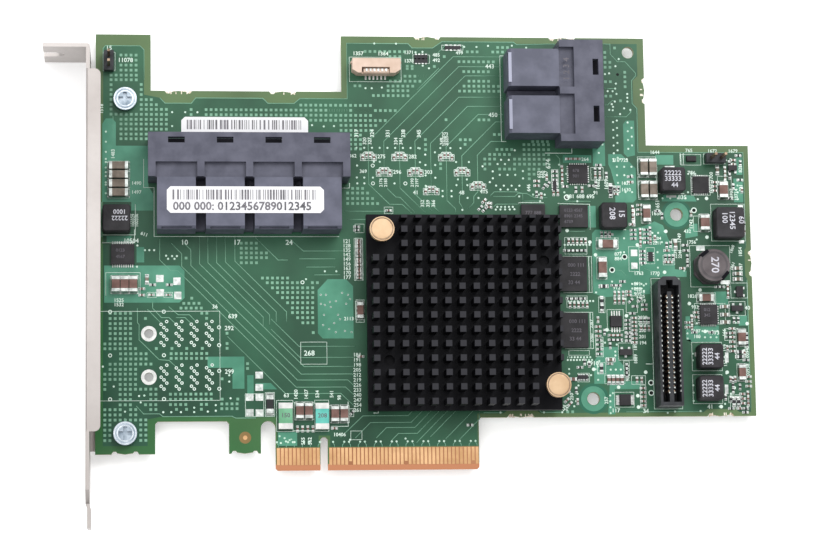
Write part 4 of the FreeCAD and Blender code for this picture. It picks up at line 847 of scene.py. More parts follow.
# dotted lines of vias: X, Y, step in X, step in Y, how many
VIA_ROWS = [
    (66.1, 82.1, 1.98, 0, 9), (71.0, 109.3, 5.6, 0, 2),
    (2.6, 86.0, 0, -2.6, 6), (2.6, 79.0, 0, -2.2, 5), (132.5, 89.1, 0, -2.05, 6),
    (133.5, 89.5, 0, -1.95, 6), (136.3, 89.0, 0, -2.3, 4), (137.3, 87.6, 0, -2.3, 3),
    (132.4, 79.4, 1.7, 0, 3), (133.2, 77.4, 1.9, 0, 3), (133.2, 75.2, 1.9, 0, 3),
    (133.4, 73.2, 1.8, 0, 3), (133.6, 70.8, 1.7, 0, 3), (119.3, 27.5, 0.78, 0, 9),
    (119.5, 28.2, 0.8, 0, 8), (119.8, 42.6, 0.8, 0, 9), (119.2, 57.1, 0.8, 0, 9),
    (128.6, 52.4, 0, -1.9, 1), (132.2, 58.8, 2.4, 0, 4), (139.0, 54.6, 0, -1.3, 3),
    (133.6, 55.2, 0.9, 0, 2), (142.0, 60.2, 1.5, 0, 2), (143.0, 57.8, 1.4, 0, 2),
    (143.2, 55.2, 0, -2.0, 4), (136.4, 47.0, 1.2, 0, 4), (136.4, 45.8, 1.2, 0, 3),
    (130.3, 25.0, 1.3, 0, 3), (127.0, 25.8, 0, -1.7, 3), (131.6, 28.6, 0, 1.0, 2),
    (153.0, 34.8, 1.3, 0, 5), (153.4, 33.2, 1.5, 0, 4), (150.4, 36.8, 0, -1.3, 4),
    (164.6, 72.6, 0, -1.8, 3), (139.4, 46.6, 0, -1.4, 2), (144.9, 69.2, 2.0, 0, 4),
    (121.6, 18.9, 0.3, 2.1, 2), (130.0, 18.4, 0, -1.5, 4), (45.9, 8.6, 1.25, -0.5, 4),
    (46.2, 6.9, 1.3, 0.4, 3), (87.6, 82.1, 2.6, 0, 3), (86.2, 81.0, 0, -3.3, 3),
    (83.7, 80.4, 0, -2.7, 4), (82.3, 82.0, 0, -3.6, 3), (91.6, 78.5, 3.3, 0, 2),
    (92.0, 74.0, 2.3, 0, 2), (91.6, 72.5, 2.8, 0, 2), (88.0, 71.0, 2.3, 0, 2),
    (88.0, 69.6, 2.3, 0, 2), (94.4, 69.2, 2.8, 0, 2), (102.0, 66.9, 1.0, 0, 5),
    (101.6, 66.2, 1.2, 0.02, 5), (111.3, 70.1, 1.5, 0, 3), (118.2, 77.9, 0.9, -1.2, 4),
    (160.6, 78.9, 1.2, 0.3, 3), (151.8, 75.6, 0.9, 0, 3),
]

# holes with a bright ring round them: vias, and wider holes
RINGED_VIAS = [
    (3.7, 40.1), (17.1, 40.1), (30.9, 36.1), (30.9, 31.6), (17.1, 29.1), (3.7, 29.1), (3.7, 18.1),
    (17.1, 18.1), (30.9, 25.1), (30.9, 20.6), (70.2, 77.5), (70.2, 72.9), (78.5, 72.9),
    (52.0, 47.5),
]
WIDE_HOLES = [
    (134.6, 54.0), (131.3, 50.6), (120.0, 69.4), (140.6, 21.6), (140.6, 19.0), (153.0, 66.1),
]

# radius of the ring and of its hole, for each kind of ringed hole
RINGED_RADII = (0.5, 0.3)
POUR_RADII = (0.24, 0.16)
SOCKET_RADII = (0.42, 0.2)
WIDE_RADII = (0.75, 0.48)
LAND_RADIUS = 1.95                 # of the tin round a plated hole

# a hole without a ring, drawn as a disc of painted shade: middle, radius
PLAIN_BORE = (134.0, 101.6, 0.38)

# the round mark for alignment: middle, radius of the gold and of the opening round it
FIDUCIAL = (37.3, 8.3)
FIDUCIAL_RADIUS = 0.55
FIDUCIAL_OPENING = 1.5

# fine vias in the large pour beside the heatsink
POUR_VIAS = [
    (57.9, 44.3), (58.9, 42.5), (56.6, 42.0), (57.6, 41.7), (60.4, 42.7), (63.5, 44.3),
    (57.4, 39.2), (59.9, 37.1), (57.1, 36.6), (61.4, 38.1), (64.3, 34.8), (58.6, 35.6),
    (63.0, 42.0), (62.0, 44.8), (64.0, 43.2), (59.1, 41.2), (60.9, 39.2), (56.6, 44.3),
    (62.6, 35.1), (60.3, 34.8),
]

# printed outlines: corner to corner
LEGEND_BOXES = [
    (51.4, 26.7, 58.0, 32.3), (65.5, 60.2, 67.8, 62.4), (65.2, 48.0, 67.4, 58.7),
    (73.0, 65.1, 75.2, 66.8), (65.5, 37.3, 67.6, 43.0), (1.0, 17.7, 31.1, 40.2),
    (64.5, 99.3, 77.8, 105.7), (1.9, 101.7, 4.9, 106.5), (141.3, 14.9, 148.6, 48.4),
    (151.6, 46.2, 162.0, 56.9), (151.4, 24.6, 159.2, 31.9), (151.4, 16.2, 159.0, 23.6),
    (131.1, 15.4, 136.1, 19.2), (150.0, 77.9, 155.2, 80.7), (140.2, 52.2, 142.4, 56.4),
    (135.7, 50.2, 138.4, 56.6), (37.4, 13.6, 42.0, 19.3), (12.9, 43.7, 15.2, 45.0),
    (17.1, 43.7, 19.3, 45.0), (42.4, 13.6, 44.7, 19.6), (45.2, 9.8, 49.3, 17.6),
    (54.8, 9.8, 58.3, 17.6), (63.8, 7.6, 66.6, 9.8), (61.9, 13.4, 64.6, 15.4),
    (80.9, 104.2, 85.2, 106.4), (88.4, 107.7, 93.9, 109.0), (116.2, 71.9, 117.9, 76.6),
    (126.4, 73.9, 129.6, 77.2), (155.9, 78.2, 161.6, 80.8), (152.4, 70.0, 157.4, 75.1),
    (157.4, 58.1, 166.2, 67.7), (138.6, 75.4, 143.4, 80.0), (138.6, 69.4, 143.4, 74.8),
    (127.4, 56.1, 133.1, 58.9), (144.6, 51.9, 147.6, 54.4), (147.0, 55.6, 149.2, 58.6),
    (128.7, 21.4, 133.9, 23.6), (135.6, 21.2, 139.2, 23.4), (133.7, 23.4, 135.1, 27.2),
    (132.4, 27.4, 136.2, 31.8), (126.9, 23.9, 129.0, 26.8), (129.2, 26.9, 131.4, 28.1),
    (126.6, 28.3, 128.5, 33.3), (121.8, 21.9, 124.8, 24.1), (137.8, 15.2, 139.2, 21.0),
    (129.7, 35.0, 133.9, 40.4), (127.6, 39.6, 129.2, 43.6), (134.7, 39.6, 137.6, 43.9),
    (162.0, 43.3, 166.3, 47.2), (161.4, 38.8, 165.6, 42.4), (163.0, 27.4, 165.2, 31.0),
    (161.0, 15.0, 163.6, 18.4), (160.0, 32.4, 162.2, 35.4), (153.0, 44.7, 158.0, 42.1),
    (152.8, 60.6, 157.2, 64.6), (159.4, 69.6, 163.0, 75.0), (152.4, 36.6, 160.4, 41.9),
    (119.4, 40.9, 124.7, 43.9), (119.2, 54.7, 124.9, 59.0), (119.6, 28.7, 124.9, 29.9),
]

# printed lines, point by point
LEGEND_LINES = [
    [(61.4, 59.2), (14.7, 59.2), (14.7, 71.7), (12.1, 71.7), (12.1, 79.0)],
    [(62.0, 71.7), (64.2, 71.7), (64.2, 73.0)],
    [(104.6, 83.9), (103.4, 83.9), (103.4, 106.3), (104.4, 106.3)],
    [(118.6, 54.1), (126.0, 54.1), (126.0, 44.8), (118.6, 44.8)],
    [(118.6, 39.7), (126.0, 39.7), (126.0, 30.4), (118.6, 30.4)],
    [(125.3, 54.1), (125.3, 44.8)], [(125.3, 39.7), (125.3, 30.4)],
    [(107.4, 67.9), (108.2, 68.0), (114.0, 68.0)], [(117.6, 67.8), (125.9, 67.6), (125.9, 61.0)],
    [(1.7, 57.6), (9.8, 57.6), (9.8, 61.0)], [(1.8, 59.6), (10.0, 59.6), (10.0, 67.4)],
    [(69.6, 14.3), (70.8, 14.3), (70.8, 15.0)], [(129.2, 61.0), (135.2, 61.0)],
    [(150.6, 77.9), (150.6, 81.0)], [(149.8, 77.9), (149.8, 81.0)],
    [(114.6, 80.9), (121.6, 80.9), (121.6, 82.6)], [(143.6, 77.4), (143.6, 70.4), (150.6, 70.4)],
    [(2.6, 44.2), (2.6, 50.0), (11.2, 50.0), (11.2, 44.2)],
    [(49.2, 9.9), (54.6, 9.9)], [(58.9, 11.0), (63.2, 11.0), (63.2, 17.2)],
    [(141.3, 26.4), (139.4, 26.4)],
]


LEGEND_MARGIN = 0.35               # from a capacitor or resistor to the outline printed round it
FINGER_LEANS = (-0.35, 0.45)       # of the tracks that leave the contacts, by turns


def track_routes():
    """Every track of the component side."""
    routes = GUARD_TRACES + TRACKS
    for i, (turn, level, end) in enumerate(zip(BUS_TURNS, BUS_LEVELS, BUS_ENDS)):
        x = BUS_START + i * BUS_STEP
        routes.append([(x, end), (x, turn), (x + level - turn, level), (BUS_STOP, level)])
    for i, (x, y) in enumerate(finger_places()):
        routes.append([(x, 5.7), (x, 6.3), (x + FINGER_LEANS[i % 2], 6.9)])
    return routes


def finger_places():
    """Tops of every other contact, where its track starts."""
    row = islands("edge_contacts_front")[::2]
    return [((x0 + x1) / 2, y1) for x0, _, x1, y1, _ in row]


def via_places():
    """Every small via: the single ones, the rows and the ends of the contacts' tracks."""
    places = list(VIAS)
    for x, y, step_x, step_y, count in VIA_ROWS:
        places += [(x + i * step_x, y + i * step_y) for i in range(count)]
    places += [(x + FINGER_LEANS[i % 2], 7.1) for i, (x, _) in enumerate(finger_places())]
    return places


def square_outlines():
    """Every copper square of the rows."""
    half = SQUARE_HALF
    return [rectangle(x + i * SQUARE_STEP - half, y - half, x + i * SQUARE_STEP + half, y + half)
            for x, y, count in SQUARE_ROWS for i in range(count)]


def clearings(holes):
    """Round outlines a little wider than the given holes."""
    return [circle(x, y, radius + HOLE_MARGIN, 24) for x, y, radius in holes]


def cluster_outlines():
    """The trapezoid printed round each pair of coupling capacitors."""
    lines = []
    for i, y in enumerate(CLUSTER_LEVELS):
        x = BUS_START + i * BUS_STEP
        lines.append([(x - 2.05, y - 1.3), (x + 2.05, y - 1.3), (x + 2.0, y - 0.4),
                      (x + 1.1, y + 0.9), (x - 1.1, y + 0.9), (x - 2.0, y - 0.4)])
    return lines


class CARD_OT_copper(bpy.types.Operator):
    """Lay planes, pours, tracks and copper squares under the mask"""

    bl_idname = "card.copper"
    bl_label = "Masked copper"

    def execute(self, context):
        looks = finishes()
        high = context.scene.card_board.copper_height / MM
        add_flat("inner_planes", [PLANE] + clearings(ALL_HOLES), 0, high * 0.3, looks["plane"])
        rims = clearings(STANDOFF_HOLES)
        standoffs = [circle(x, y, 3.9, 32) for x, y, _ in STANDOFF_HOLES]
        add_flat("standoff_clearings", standoffs + rims, 0, high * 0.5, looks["clearing"])
        add_flat("masked_pours", POURS, 0, high * 0.8, looks["pour"])
        add_flat("copper_squares", square_outlines(), 0, high, looks["masked_copper"])
        add_flat("finger_laminate", [rectangle(*field) for field in FINGER_FIELDS], 0, 0.01,
                 looks["laminate_open"])
        rings = []
        for (x, y, _), rim in zip(STANDOFF_HOLES, rims):
            rings += [circle(x, y, 3.2, 32), rim]
        add_flat("standoff_rings", rings, 0, high, looks["pour"])
        add_strip_piece("tracks", track_routes(), 0.27, 0, high, looks["masked_copper"])
        return {"FINISHED"}


# one zigzag group of the unused socket's holes, and the steps to the next along X and down Y
SOCKET_GROUP = [
    (17.8, 37.6), (16.4, 36.9), (17.1, 36.1), (17.8, 35.4), (16.4, 34.6), (17.1, 33.9),
    (17.8, 33.1), (16.4, 32.3), (17.1, 31.6),
]
SOCKET_STEPS = (3.78, 11.0)


def footprint_places():
    """The plated holes of the unused socket: two rows of four zigzag groups."""
    step_x, step_y = SOCKET_STEPS
    return [(x + i * step_x, y - j * step_y) for x, y in SOCKET_GROUP
            for i in range(4) for j in range(2)]


def ringed(places, radii, sides):
    """Two round outlines at each place, the ring's outside and its hole."""
    return [circle(x, y, radius, sides) for x, y in places for radius in radii]


def bored(places, radii, sides):
    """The outline of the hole at each ringed place."""
    return [circle(x, y, radii[1], sides) for x, y in places]


class CARD_OT_vias(bpy.types.Operator):
    """Add vias, test pads, holes with their rings and the alignment mark"""

    bl_idname = "card.vias"
    bl_label = "Vias"

    def execute(self, context):
        looks = finishes()
        high = context.scene.card_board.copper_height / MM
        dots = [circle(x, y, VIA_RADIUS, 8) for x, y in via_places()]
        add_flat("vias", dots, 0, high * 1.4, looks["via"])
        pads = [circle(x, y, TEST_PAD_RADIUS, 14) for x, y in TEST_PADS]
        add_flat("test_pads", pads, 0, high * 1.6, looks["legend"])
        rings = ringed(RINGED_VIAS, RINGED_RADII, 12) + ringed(POUR_VIAS, POUR_RADII, 10)
        socket = footprint_places()
        rings += ringed(socket, SOCKET_RADII, 12) + ringed(WIDE_HOLES, WIDE_RADII, 16)
        bores = bored(POUR_VIAS, POUR_RADII, 10) + bored(socket, SOCKET_RADII, 12)
        bores += bored(WIDE_HOLES, WIDE_RADII, 16) + [circle(*PLAIN_BORE, 12)]
        add_flat("ringed_holes", rings, 0, high * 1.5, looks["legend"])
        # the holes' openings are dark discs of painted shade
        add_flat("hole_shades", bores, 0, high * 0.9, looks["bore"])
        lands = []
        for x, y, radius in PLATED_HOLES:
            lands += [circle(x, y, LAND_RADIUS, 28), circle(x, y, radius, 24)]
        add_flat("plated_rings", lands, 0, high * 1.5, looks["tin"])
        mark = circle(*FIDUCIAL, FIDUCIAL_RADIUS, 16)
        add_flat("fiducial_opening", [circle(*FIDUCIAL, FIDUCIAL_OPENING, 28), mark], 0,
                 high * 0.6, looks["clear_laminate"])
        add_flat("fiducial", [mark], 0, high * 1.2, looks["contact_gold"])
        return {"FINISHED"}


class CARD_OT_legend(bpy.types.Operator):
    """Print outlines and plain digits on the mask"""

    bl_idname = "card.legend"
    bl_label = "Legend"

    def execute(self, context):
        looks = finishes()
        high = context.scene.card_board.legend_height / MM
        boxes = [rectangle(*box) for box in LEGEND_BOXES] + cluster_outlines()
        for node in ("capacitors_tan", "capacitors_brown", "small_capacitors", "small_resistors"):
            boxes += [rectangle(x0 - LEGEND_MARGIN, y0 - LEGEND_MARGIN, x1 + LEGEND_MARGIN,
                                y1 + LEGEND_MARGIN) for x0, y0, x1, y1, _ in islands(node)]
        add_strip_piece("legend_boxes", boxes, 0.2, 0, high, looks["legend"], True)
        add_strip_piece("legend_lines", LEGEND_LINES, 0.24, 0, high, looks["legend"])
        add_digits("legend_digits", digit_places(), high, looks["legend"])
        return {"FINISHED"}


# columns and rows of designators: X, Y, step in X, step in Y, how many, height, angle, digits
DIGIT_ROWS = [
    (21.4, 57.1, 13.2, 0, 3, 1.3, 0, 2), (62.3, 57.6, 0, -1.16, 9, 0.95, 0, 3),
    (64.6, 28.6, 0, -1.27, 12, 0.95, 0, 3), (52.2, 28.9, 0, 0, 1, 1.3, 0, 3),
    (71.4, 79.4, 8.0, 0, 3, 1.0, 0, 3), (75.4, 75.4, 8.0, 0, 3, 1.0, 0, 3),
    (66.6, 84.8, 4.0, 0, 5, 1.0, 90, 3), (83.2, 66.8, 1.4, 0, 3, 0.9, 90, 3),
    (88.0, 85.4, 0, -0.9, 4, 0.8, 0, 3), (80.4, 70.1, 11.8, 0, 2, 1.0, 0, 2),
    (97.6, 70.4, 0, 0, 1, 1.0, 0, 3), (8.9, 61.6, 0.9, 0, 3, 0.8, 90, 6),
    (99.6, 103.0, 0, 0, 1, 1.1, 0, 3), (100.2, 90.3, 0, 0, 1, 1.1, 0, 3),
    (65.4, 106.2, 6.4, 0, 2, 1.0, 0, 4), (78.6, 106.6, 0, -2.2, 2, 0.9, 0, 4),
    (86.0, 106.0, 0, -1.4, 2, 0.9, 0, 3), (92.0, 106.6, 0, 0, 1, 0.9, 0, 3),
    (59.4, 8.5, 0, 0, 1, 0.9, 0, 5), (47.0, 18.4, 0, 0, 1, 1.0, 0, 2),
    (50.5, 17.8, 2.6, 0, 2, 0.9, 90, 4), (55.9, 18.2, 3.6, 0, 2, 0.9, 90, 3),
    (61.4, 17.6, 0, 0, 1, 0.9, 90, 2), (52.2, 6.4, 1.7, 0, 2, 0.9, 90, 3),
    (105.6, 15.0, -4.2, 0, 2, 0.9, 0, 3), (4.8, 79.0, 0, 0, 1, 0.9, 90, 4),
    (9.0, 72.4, 0, -2.3, 2, 0.9, 0, 4), (7.0, 57.6, 0, 0, 1, 1.1, 0, 5),
    (11.2, 59.7, 0, 0, 1, 0.9, -20, 3), (1.9, 90.6, 0, 0, 1, 0.9, 90, 4),
    (4.6, 42.6, 0, -1.1, 2, 0.9, 0, 4), (33.2, 38.4, 0, 0, 1, 1.1, 0, 3),
    (110.6, 70.9, 0, 0, 1, 0.9, 90, 3), (113.4, 74.4, 0.9, 0, 3, 0.9, 90, 3),
    (115.9, 76.8, 0, 0, 1, 1.2, 90, 3), (119.9, 69.2, 2.6, 0, 3, 1.0, 0, 3),
    (128.6, 71.4, 2.2, 0, 2, 1.0, 90, 4), (132.0, 78.7, 2.3, 0, 2, 0.9, 0, 3),
    (134.2, 71.0, 0, 1.7, 2, 0.9, 0, 4), (141.9, 80.8, 0, 0, 1, 0.9, 0, 4),
    (144.0, 66.0, 0, 0, 1, 1.0, 90, 4), (141.8, 64.8, 0, 0, 1, 1.0, 0, 4),
    (151.2, 81.3, 0, 0, 1, 0.9, 0, 3), (157.0, 81.2, 5.4, 0, 2, 0.9, 0, 4),
    (151.6, 75.4, 0, 0, 1, 1.0, 0, 3), (158.2, 70.4, 0.0, 3.2, 2, 0.9, 90, 4),
    (163.4, 68.6, 1.2, 0, 2, 0.9, 90, 5), (165.9, 71.0, 0, 5.0, 2, 0.9, 90, 3),
    (148.9, 69.0, 0, 0, 1, 1.1, 0, 3), (152.6, 61.2, 0, 0, 1, 0.9, 90, 4),
    (149.4, 57.6, 0, 0, 1, 0.9, 90, 4), (150.8, 57.4, 0, 0, 1, 0.9, 0, 4),
    (136.9, 49.3, 4.2, 0, 2, 0.9, 0, 4), (132.0, 54.3, 0, -1.2, 2, 0.9, 0, 3),
    (136.8, 46.6, 0, -1.3, 3, 0.9, 0, 3), (131.4, 45.6, 2.0, 0, 1, 0.9, 0, 3),
    (137.9, 42.2, 0, 0, 1, 0.9, 0, 3), (150.6, 43.4, 0, 0, 1, 0.9, 0, 4),
    (151.6, 40.6, 0, 0, 1, 0.9, 0, 3), (165.5, 40.3, 0, 0, 1, 1.0, 0, 2),
    (165.2, 49.8, 0, 4.2, 2, 0.9, 90, 4), (162.6, 50.4, 0.0, 4.4, 2, 0.8, 70, 4),
    (135.0, 24.4, 0.0, -2.4, 2, 0.9, 90, 3), (137.2, 26.4, 0, 3.4, 2, 0.9, 90, 4),
    (128.6, 30.0, 0, 3.6, 1, 0.9, 90, 4), (123.4, 26.1, 0, 0, 1, 1.1, 0, 5),
    (130.3, 14.1, 0, 0, 1, 1.0, 0, 3), (138.3, 13.9, 0, 0, 1, 1.1, 0, 2),
    (155.0, 14.9, 0, 0, 1, 1.1, 0, 2), (166.2, 22.6, 0, 4.6, 2, 0.9, 90, 6),
    (160.4, 25.6, 0, 3.9, 3, 0.9, 90, 3), (155.9, 33.9, 0, 0, 1, 1.0, 0, 4),
    (151.9, 33.0, 0, 1.4, 2, 0.9, 0, 3), (137.8, 31.4, 0, 1.6, 4, 0.9, 0, 3),
    (137.6, 36.6, 0.0, 1.3, 2, 0.9, 0, 4), (117.9, 14.4, 0.9, 0, 2, 0.8, 65, 3),
    (120.5, 17.2, 0, 0, 1, 0.9, 90, 3), (129.4, 16.2, 0, 0, 1, 0.9, 90, 3),
    (124.0, 78.9, 0, 0, 1, 0.9, 0, 3), (126.9, 70.2, 0, 0, 1, 0.9, 0, 2),
    (5.6, 104.0, 0, 0, 1, 1.1, 0, 5), (2.6, 107.1, 0, 0, 1, 1.1, 0, 2),
    (32.3, 35.4, 0, -11.0, 2, 1.1, 0, 3), (29.2, 40.9, 0, 0, 1, 1.0, 0, 2),
    (62.4, 37.8, 0, 0, 1, 0.9, 0, 4), (68.6, 82.9, 1.3, 0, 2, 0.9, 90, 3),
    (76.6, 82.9, 1.3, 0, 2, 0.9, 90, 3), (88.4, 82.9, 1.3, 0, 2, 0.9, 90, 3),
    (64.2, 79.6, 0, 0, 1, 0.9, 0, 3), (66.8, 75.6, 0, 0, 1, 0.9, 0, 3),
    (72.6, 72.0, 1.2, 0, 2, 0.8, 90, 4), (80.6, 72.0, 1.2, 0, 2, 0.8, 90, 4),
    (142.0, 58.4, 0, -1.2, 2, 0.8, 0, 4), (137.4, 44.6, 0, -1.2, 2, 0.8, 0, 4),
    (150.2, 60.2, 0, 0, 1, 0.9, 0, 3), (148.2, 53.6, 1.2, 0, 2, 0.8, 90, 4),
    (133.4, 36.4, 0, -1.1, 1, 0.8, 90, 4), (126.0, 32.0, 0, 3.6, 2, 0.8, 90, 4),
]


def digit_places():
    """(digits, x, y, height, angle) for every designator; the numbers only count up."""
    places = []
    for x, y, step_x, step_y, count, height, angle, length in DIGIT_ROWS:
        for i in range(count):
            number = 10 ** (length - 1) + (7 * len(places)) % (9 * 10 ** (length - 1))
            places.append((str(number), x + i * step_x, y + i * step_y, height, angle))
    return places


# ------------------------------------------------------------------ small parts

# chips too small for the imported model: first place, step, how many, angle, size, body
SMALL_ROWS = [
    (74.1, 65.9, 0, 0, 1, 0, "0402", "brown"), (94.0, 11.1, 0, 0, 1, 0, "0402", "black"),
    (50.4, 10.4, 1.3, 0, 4, 90, "0402", "brown"), (59.7, 10.5, 0, 0, 1, 0, "0402", "brown"),
    (64.2, 14.4, 0, 0, 1, 45, "0402", "black"), (12.9, 48.3, 0, 0, 1, 90, "0603", "tan"),
    (11.6, 45.9, 0, -1.6, 2, 0, "0402", "brown"), (18.5, 46.9, -4.2, 0, 2, 0, "0402", "black"),
    (65.9, 61.7, 0, -0.85, 2, 0, "0402", "black"), (14.0, 44.35, 4.2, 0, 2, 0, "0402", "tan"),
    (66.3, 57.9, 0, -1.2, 8, 0, "0402", "brown"), (66.5, 42.2, 0, -1.25, 4, 0, "0402", "brown"),
    (66.6, 28.6, 0.0, -1.27, 1, 0, "0402", "brown"), (83.0, 105.3, 1.1, 0, 2, 90, "0402", "black"),
    (81.9, 105.3, 0, 0, 1, 90, "0402", "black"), (89.6, 108.35, 1.15, 0, 4, 90, "0402", "black"),
    (112.3, 72.4, 0, 1.2, 2, 0, "0402", "brown"), (114.2, 72.2, 1.1, 0.6, 2, 60, "0402", "black"),
    (114.9, 74.6, 0, 0, 1, 90, "0402", "brown"), (117.0, 72.8, 0, 1.1, 4, 0, "0402", "black"),
    (118.9, 76.9, 0, -1.1, 4, 90, "0402", "brown"), (127.5, 75.0, 1.2, 0, 2, 90, "0402", "brown"),
    (127.5, 76.4, 1.2, 0, 2, 90, "0402", "black"), (120.2, 58.0, 1.1, 0, 5, 90, "0402", "brown"),
    (119.6, 55.6, 1.1, 0, 5, 0, "0402", "black"), (120.2, 41.6, 1.1, 0, 5, 90, "0402", "brown"),
    (120.0, 43.2, 1.2, 0, 4, 0, "0402", "black"), (127.5, 29.0, 0, 1.2, 4, 0, "0402", "black"),
    (122.4, 23.0, 0.9, 0, 3, 90, "0402", "black"), (120.6, 22.6, 0, 0, 1, 0, "0603", "brown"),
    (127.9, 25.3, 0, 0, 1, 90, "0603", "black"), (129.8, 22.4, 1.1, 0, 4, 90, "0603", "brown"),
    (130.3, 27.5, 0, 0, 1, 0, "0603", "tan"), (134.4, 25.8, 0, -1.1, 3, 90, "0402", "black"),
    (137.0, 22.3, 1.2, 0, 2, 90, "0402", "brown"), (138.5, 20.2, 0, -1.1, 5, 0, "0402", "brown"),
    (130.6, 33.8, 1.1, 0, 3, 0, "0402", "brown"), (130.6, 32.6, 1.1, 0, 3, 0, "0402", "black"),
    (135.0, 37.6, 0, -1.05, 6, 0, "0402", "black"), (136.6, 38.2, 0, -1.05, 7, 0, "0402", "brown"),
    (138.4, 37.6, 1.0, 0, 3, 90, "0402", "black"), (138.4, 35.6, 1.0, 0, 3, 90, "0402", "brown"),
    (135.3, 34.2, 1.1, 0, 2, 0, "0402", "black"), (128.4, 42.6, 0, -1.7, 2, 90, "0603", "black"),
    (127.3, 36.0, 0, -1.2, 3, 0, "0402", "brown"), (127.3, 37.8, 0, 0, 1, 90, "0402", "tan"),
    (131.8, 44.4, 1.1, 0, 3, 90, "0402", "tan"), (131.8, 42.6, 1.1, 0, 3, 90, "0402", "brown"),
    (133.9, 47.6, 0, 0, 1, 0, "0402", "black"), (131.6, 46.6, 1.2, 0, 2, 0, "0402", "black"),
    (135.4, 45.0, 0, -0.9, 2, 0, "0402", "brown"), (139.3, 55.4, 0, -1.0, 4, 0, "0402", "black"),
    (145.2, 53.8, 1.0, 0, 3, 90, "0402", "black"), (145.4, 52.6, 1.0, 0, 2, 0, "0402", "brown"),
    (147.9, 57.2, 0, 0, 1, 90, "0603", "tan"), (137.0, 60.9, 0, -1.1, 3, 0, "0402", "black"),
    (138.8, 60.6, 0, -1.1, 4, 90, "0402", "brown"), (140.4, 61.0, 0, -1.1, 4, 0, "0402", "black"),
    (141.4, 59.2, 0, -1.2, 2, 90, "0402", "brown"), (136.8, 62.4, 0, 0, 1, 0, "0402", "brown"),
    (131.4, 71.8, 0, -1.2, 2, 90, "0603", "black"), (132.7, 71.4, 0, -1.1, 2, 0, "0402", "brown"),
    (128.8, 59.8, 1.0, 0, 3, 90, "0402", "black"), (131.0, 59.8, 0, 0, 1, 0, "0402", "brown"),
    (162.6, 78.3, 0.0, -1.1, 4, 90, "0402", "black"), (163.6, 79.2, 0, -1.1, 3, 0, "0402", "brown"),
    (159.4, 76.6, 0, 0, 1, 90, "0603", "tan"), (161.4, 76.8, 0, -1.1, 3, 90, "0402", "tan"),
    (158.6, 73.4, 0, -1.1, 3, 0, "0402", "brown"), (165.0, 80.4, 0, 0, 1, 0, "0402", "black"),
    (157.1, 79.5, 1.3, 0, 4, 90, "0603", "black"), (161.9, 16.6, 1.2, 0, 2, 90, "0603", "black"),
    (164.2, 18.6, 0, -1.2, 3, 0, "0402", "brown"), (165.6, 18.6, 0, -1.2, 3, 90, "0402", "brown"),
    (161.8, 19.6, 0, 1.3, 3, 90, "0402", "black"), (161.2, 22.4, 1.2, 0, 2, 90, "0402", "brown"),
    (163.9, 29.4, 0, -1.2, 2, 0, "0603", "black"), (162.0, 29.6, 0, 1.2, 3, 0, "0402", "brown"),
    (160.9, 33.2, 0, 1.0, 2, 0, "0402", "black"), (162.0, 33.2, 0, 1.1, 3, 0, "0402", "brown"),
    (165.8, 33.6, 0, -1.2, 3, 90, "0402", "black"), (162.6, 37.6, 1.1, 0, 2, 90, "0402", "black"),
    (165.9, 23.0, 0, -1.2, 3, 0, "0402", "tan"), (164.8, 13.9, 0, 0, 1, 0, "0402", "black"),
    (151.6, 38.2, 0, -1.3, 3, 90, "0402", "tan"), (152.8, 39.6, 0, -1.2, 2, 0, "0402", "brown"),
    (163.9, 51.0, 0, -1.4, 3, 0, "0603", "tan"), (161.2, 46.2, 0, -1.1, 3, 90, "0402", "brown"),
    (158.6, 46.2, 1.0, 0, 2, 0, "0402", "black"), (150.6, 35.8, 0, 1.2, 2, 0, "0402", "brown"),
    (137.0, 66.6, 0, -1.2, 3, 90, "0402", "brown"), (138.8, 67.4, 0, -1.2, 3, 0, "0402", "tan"),
    (120.6, 79.4, 1.2, 0, 3, 0, "0402", "brown"), (116.6, 70.6, 1.1, 0, 2, 90, "0402", "brown"),
    (98.6, 68.4, 0.9, -0.9, 2, 45, "0402", "brown"), (99.8, 67.8, 0, -1.0, 2, 0, "0402", "brown"),
    (97.6, 66.6, 1.1, -0.4, 2, 45, "0402", "black"),
    (118.8, 17.2, 0.8, -0.9, 2, 45, "0402", "brown"), (152.2, 65.2, 0, 0, 1, 90, "0402", "tan"),
    (121.6, 16.9, 0, 0, 1, 90, "0402", "tan"),
]

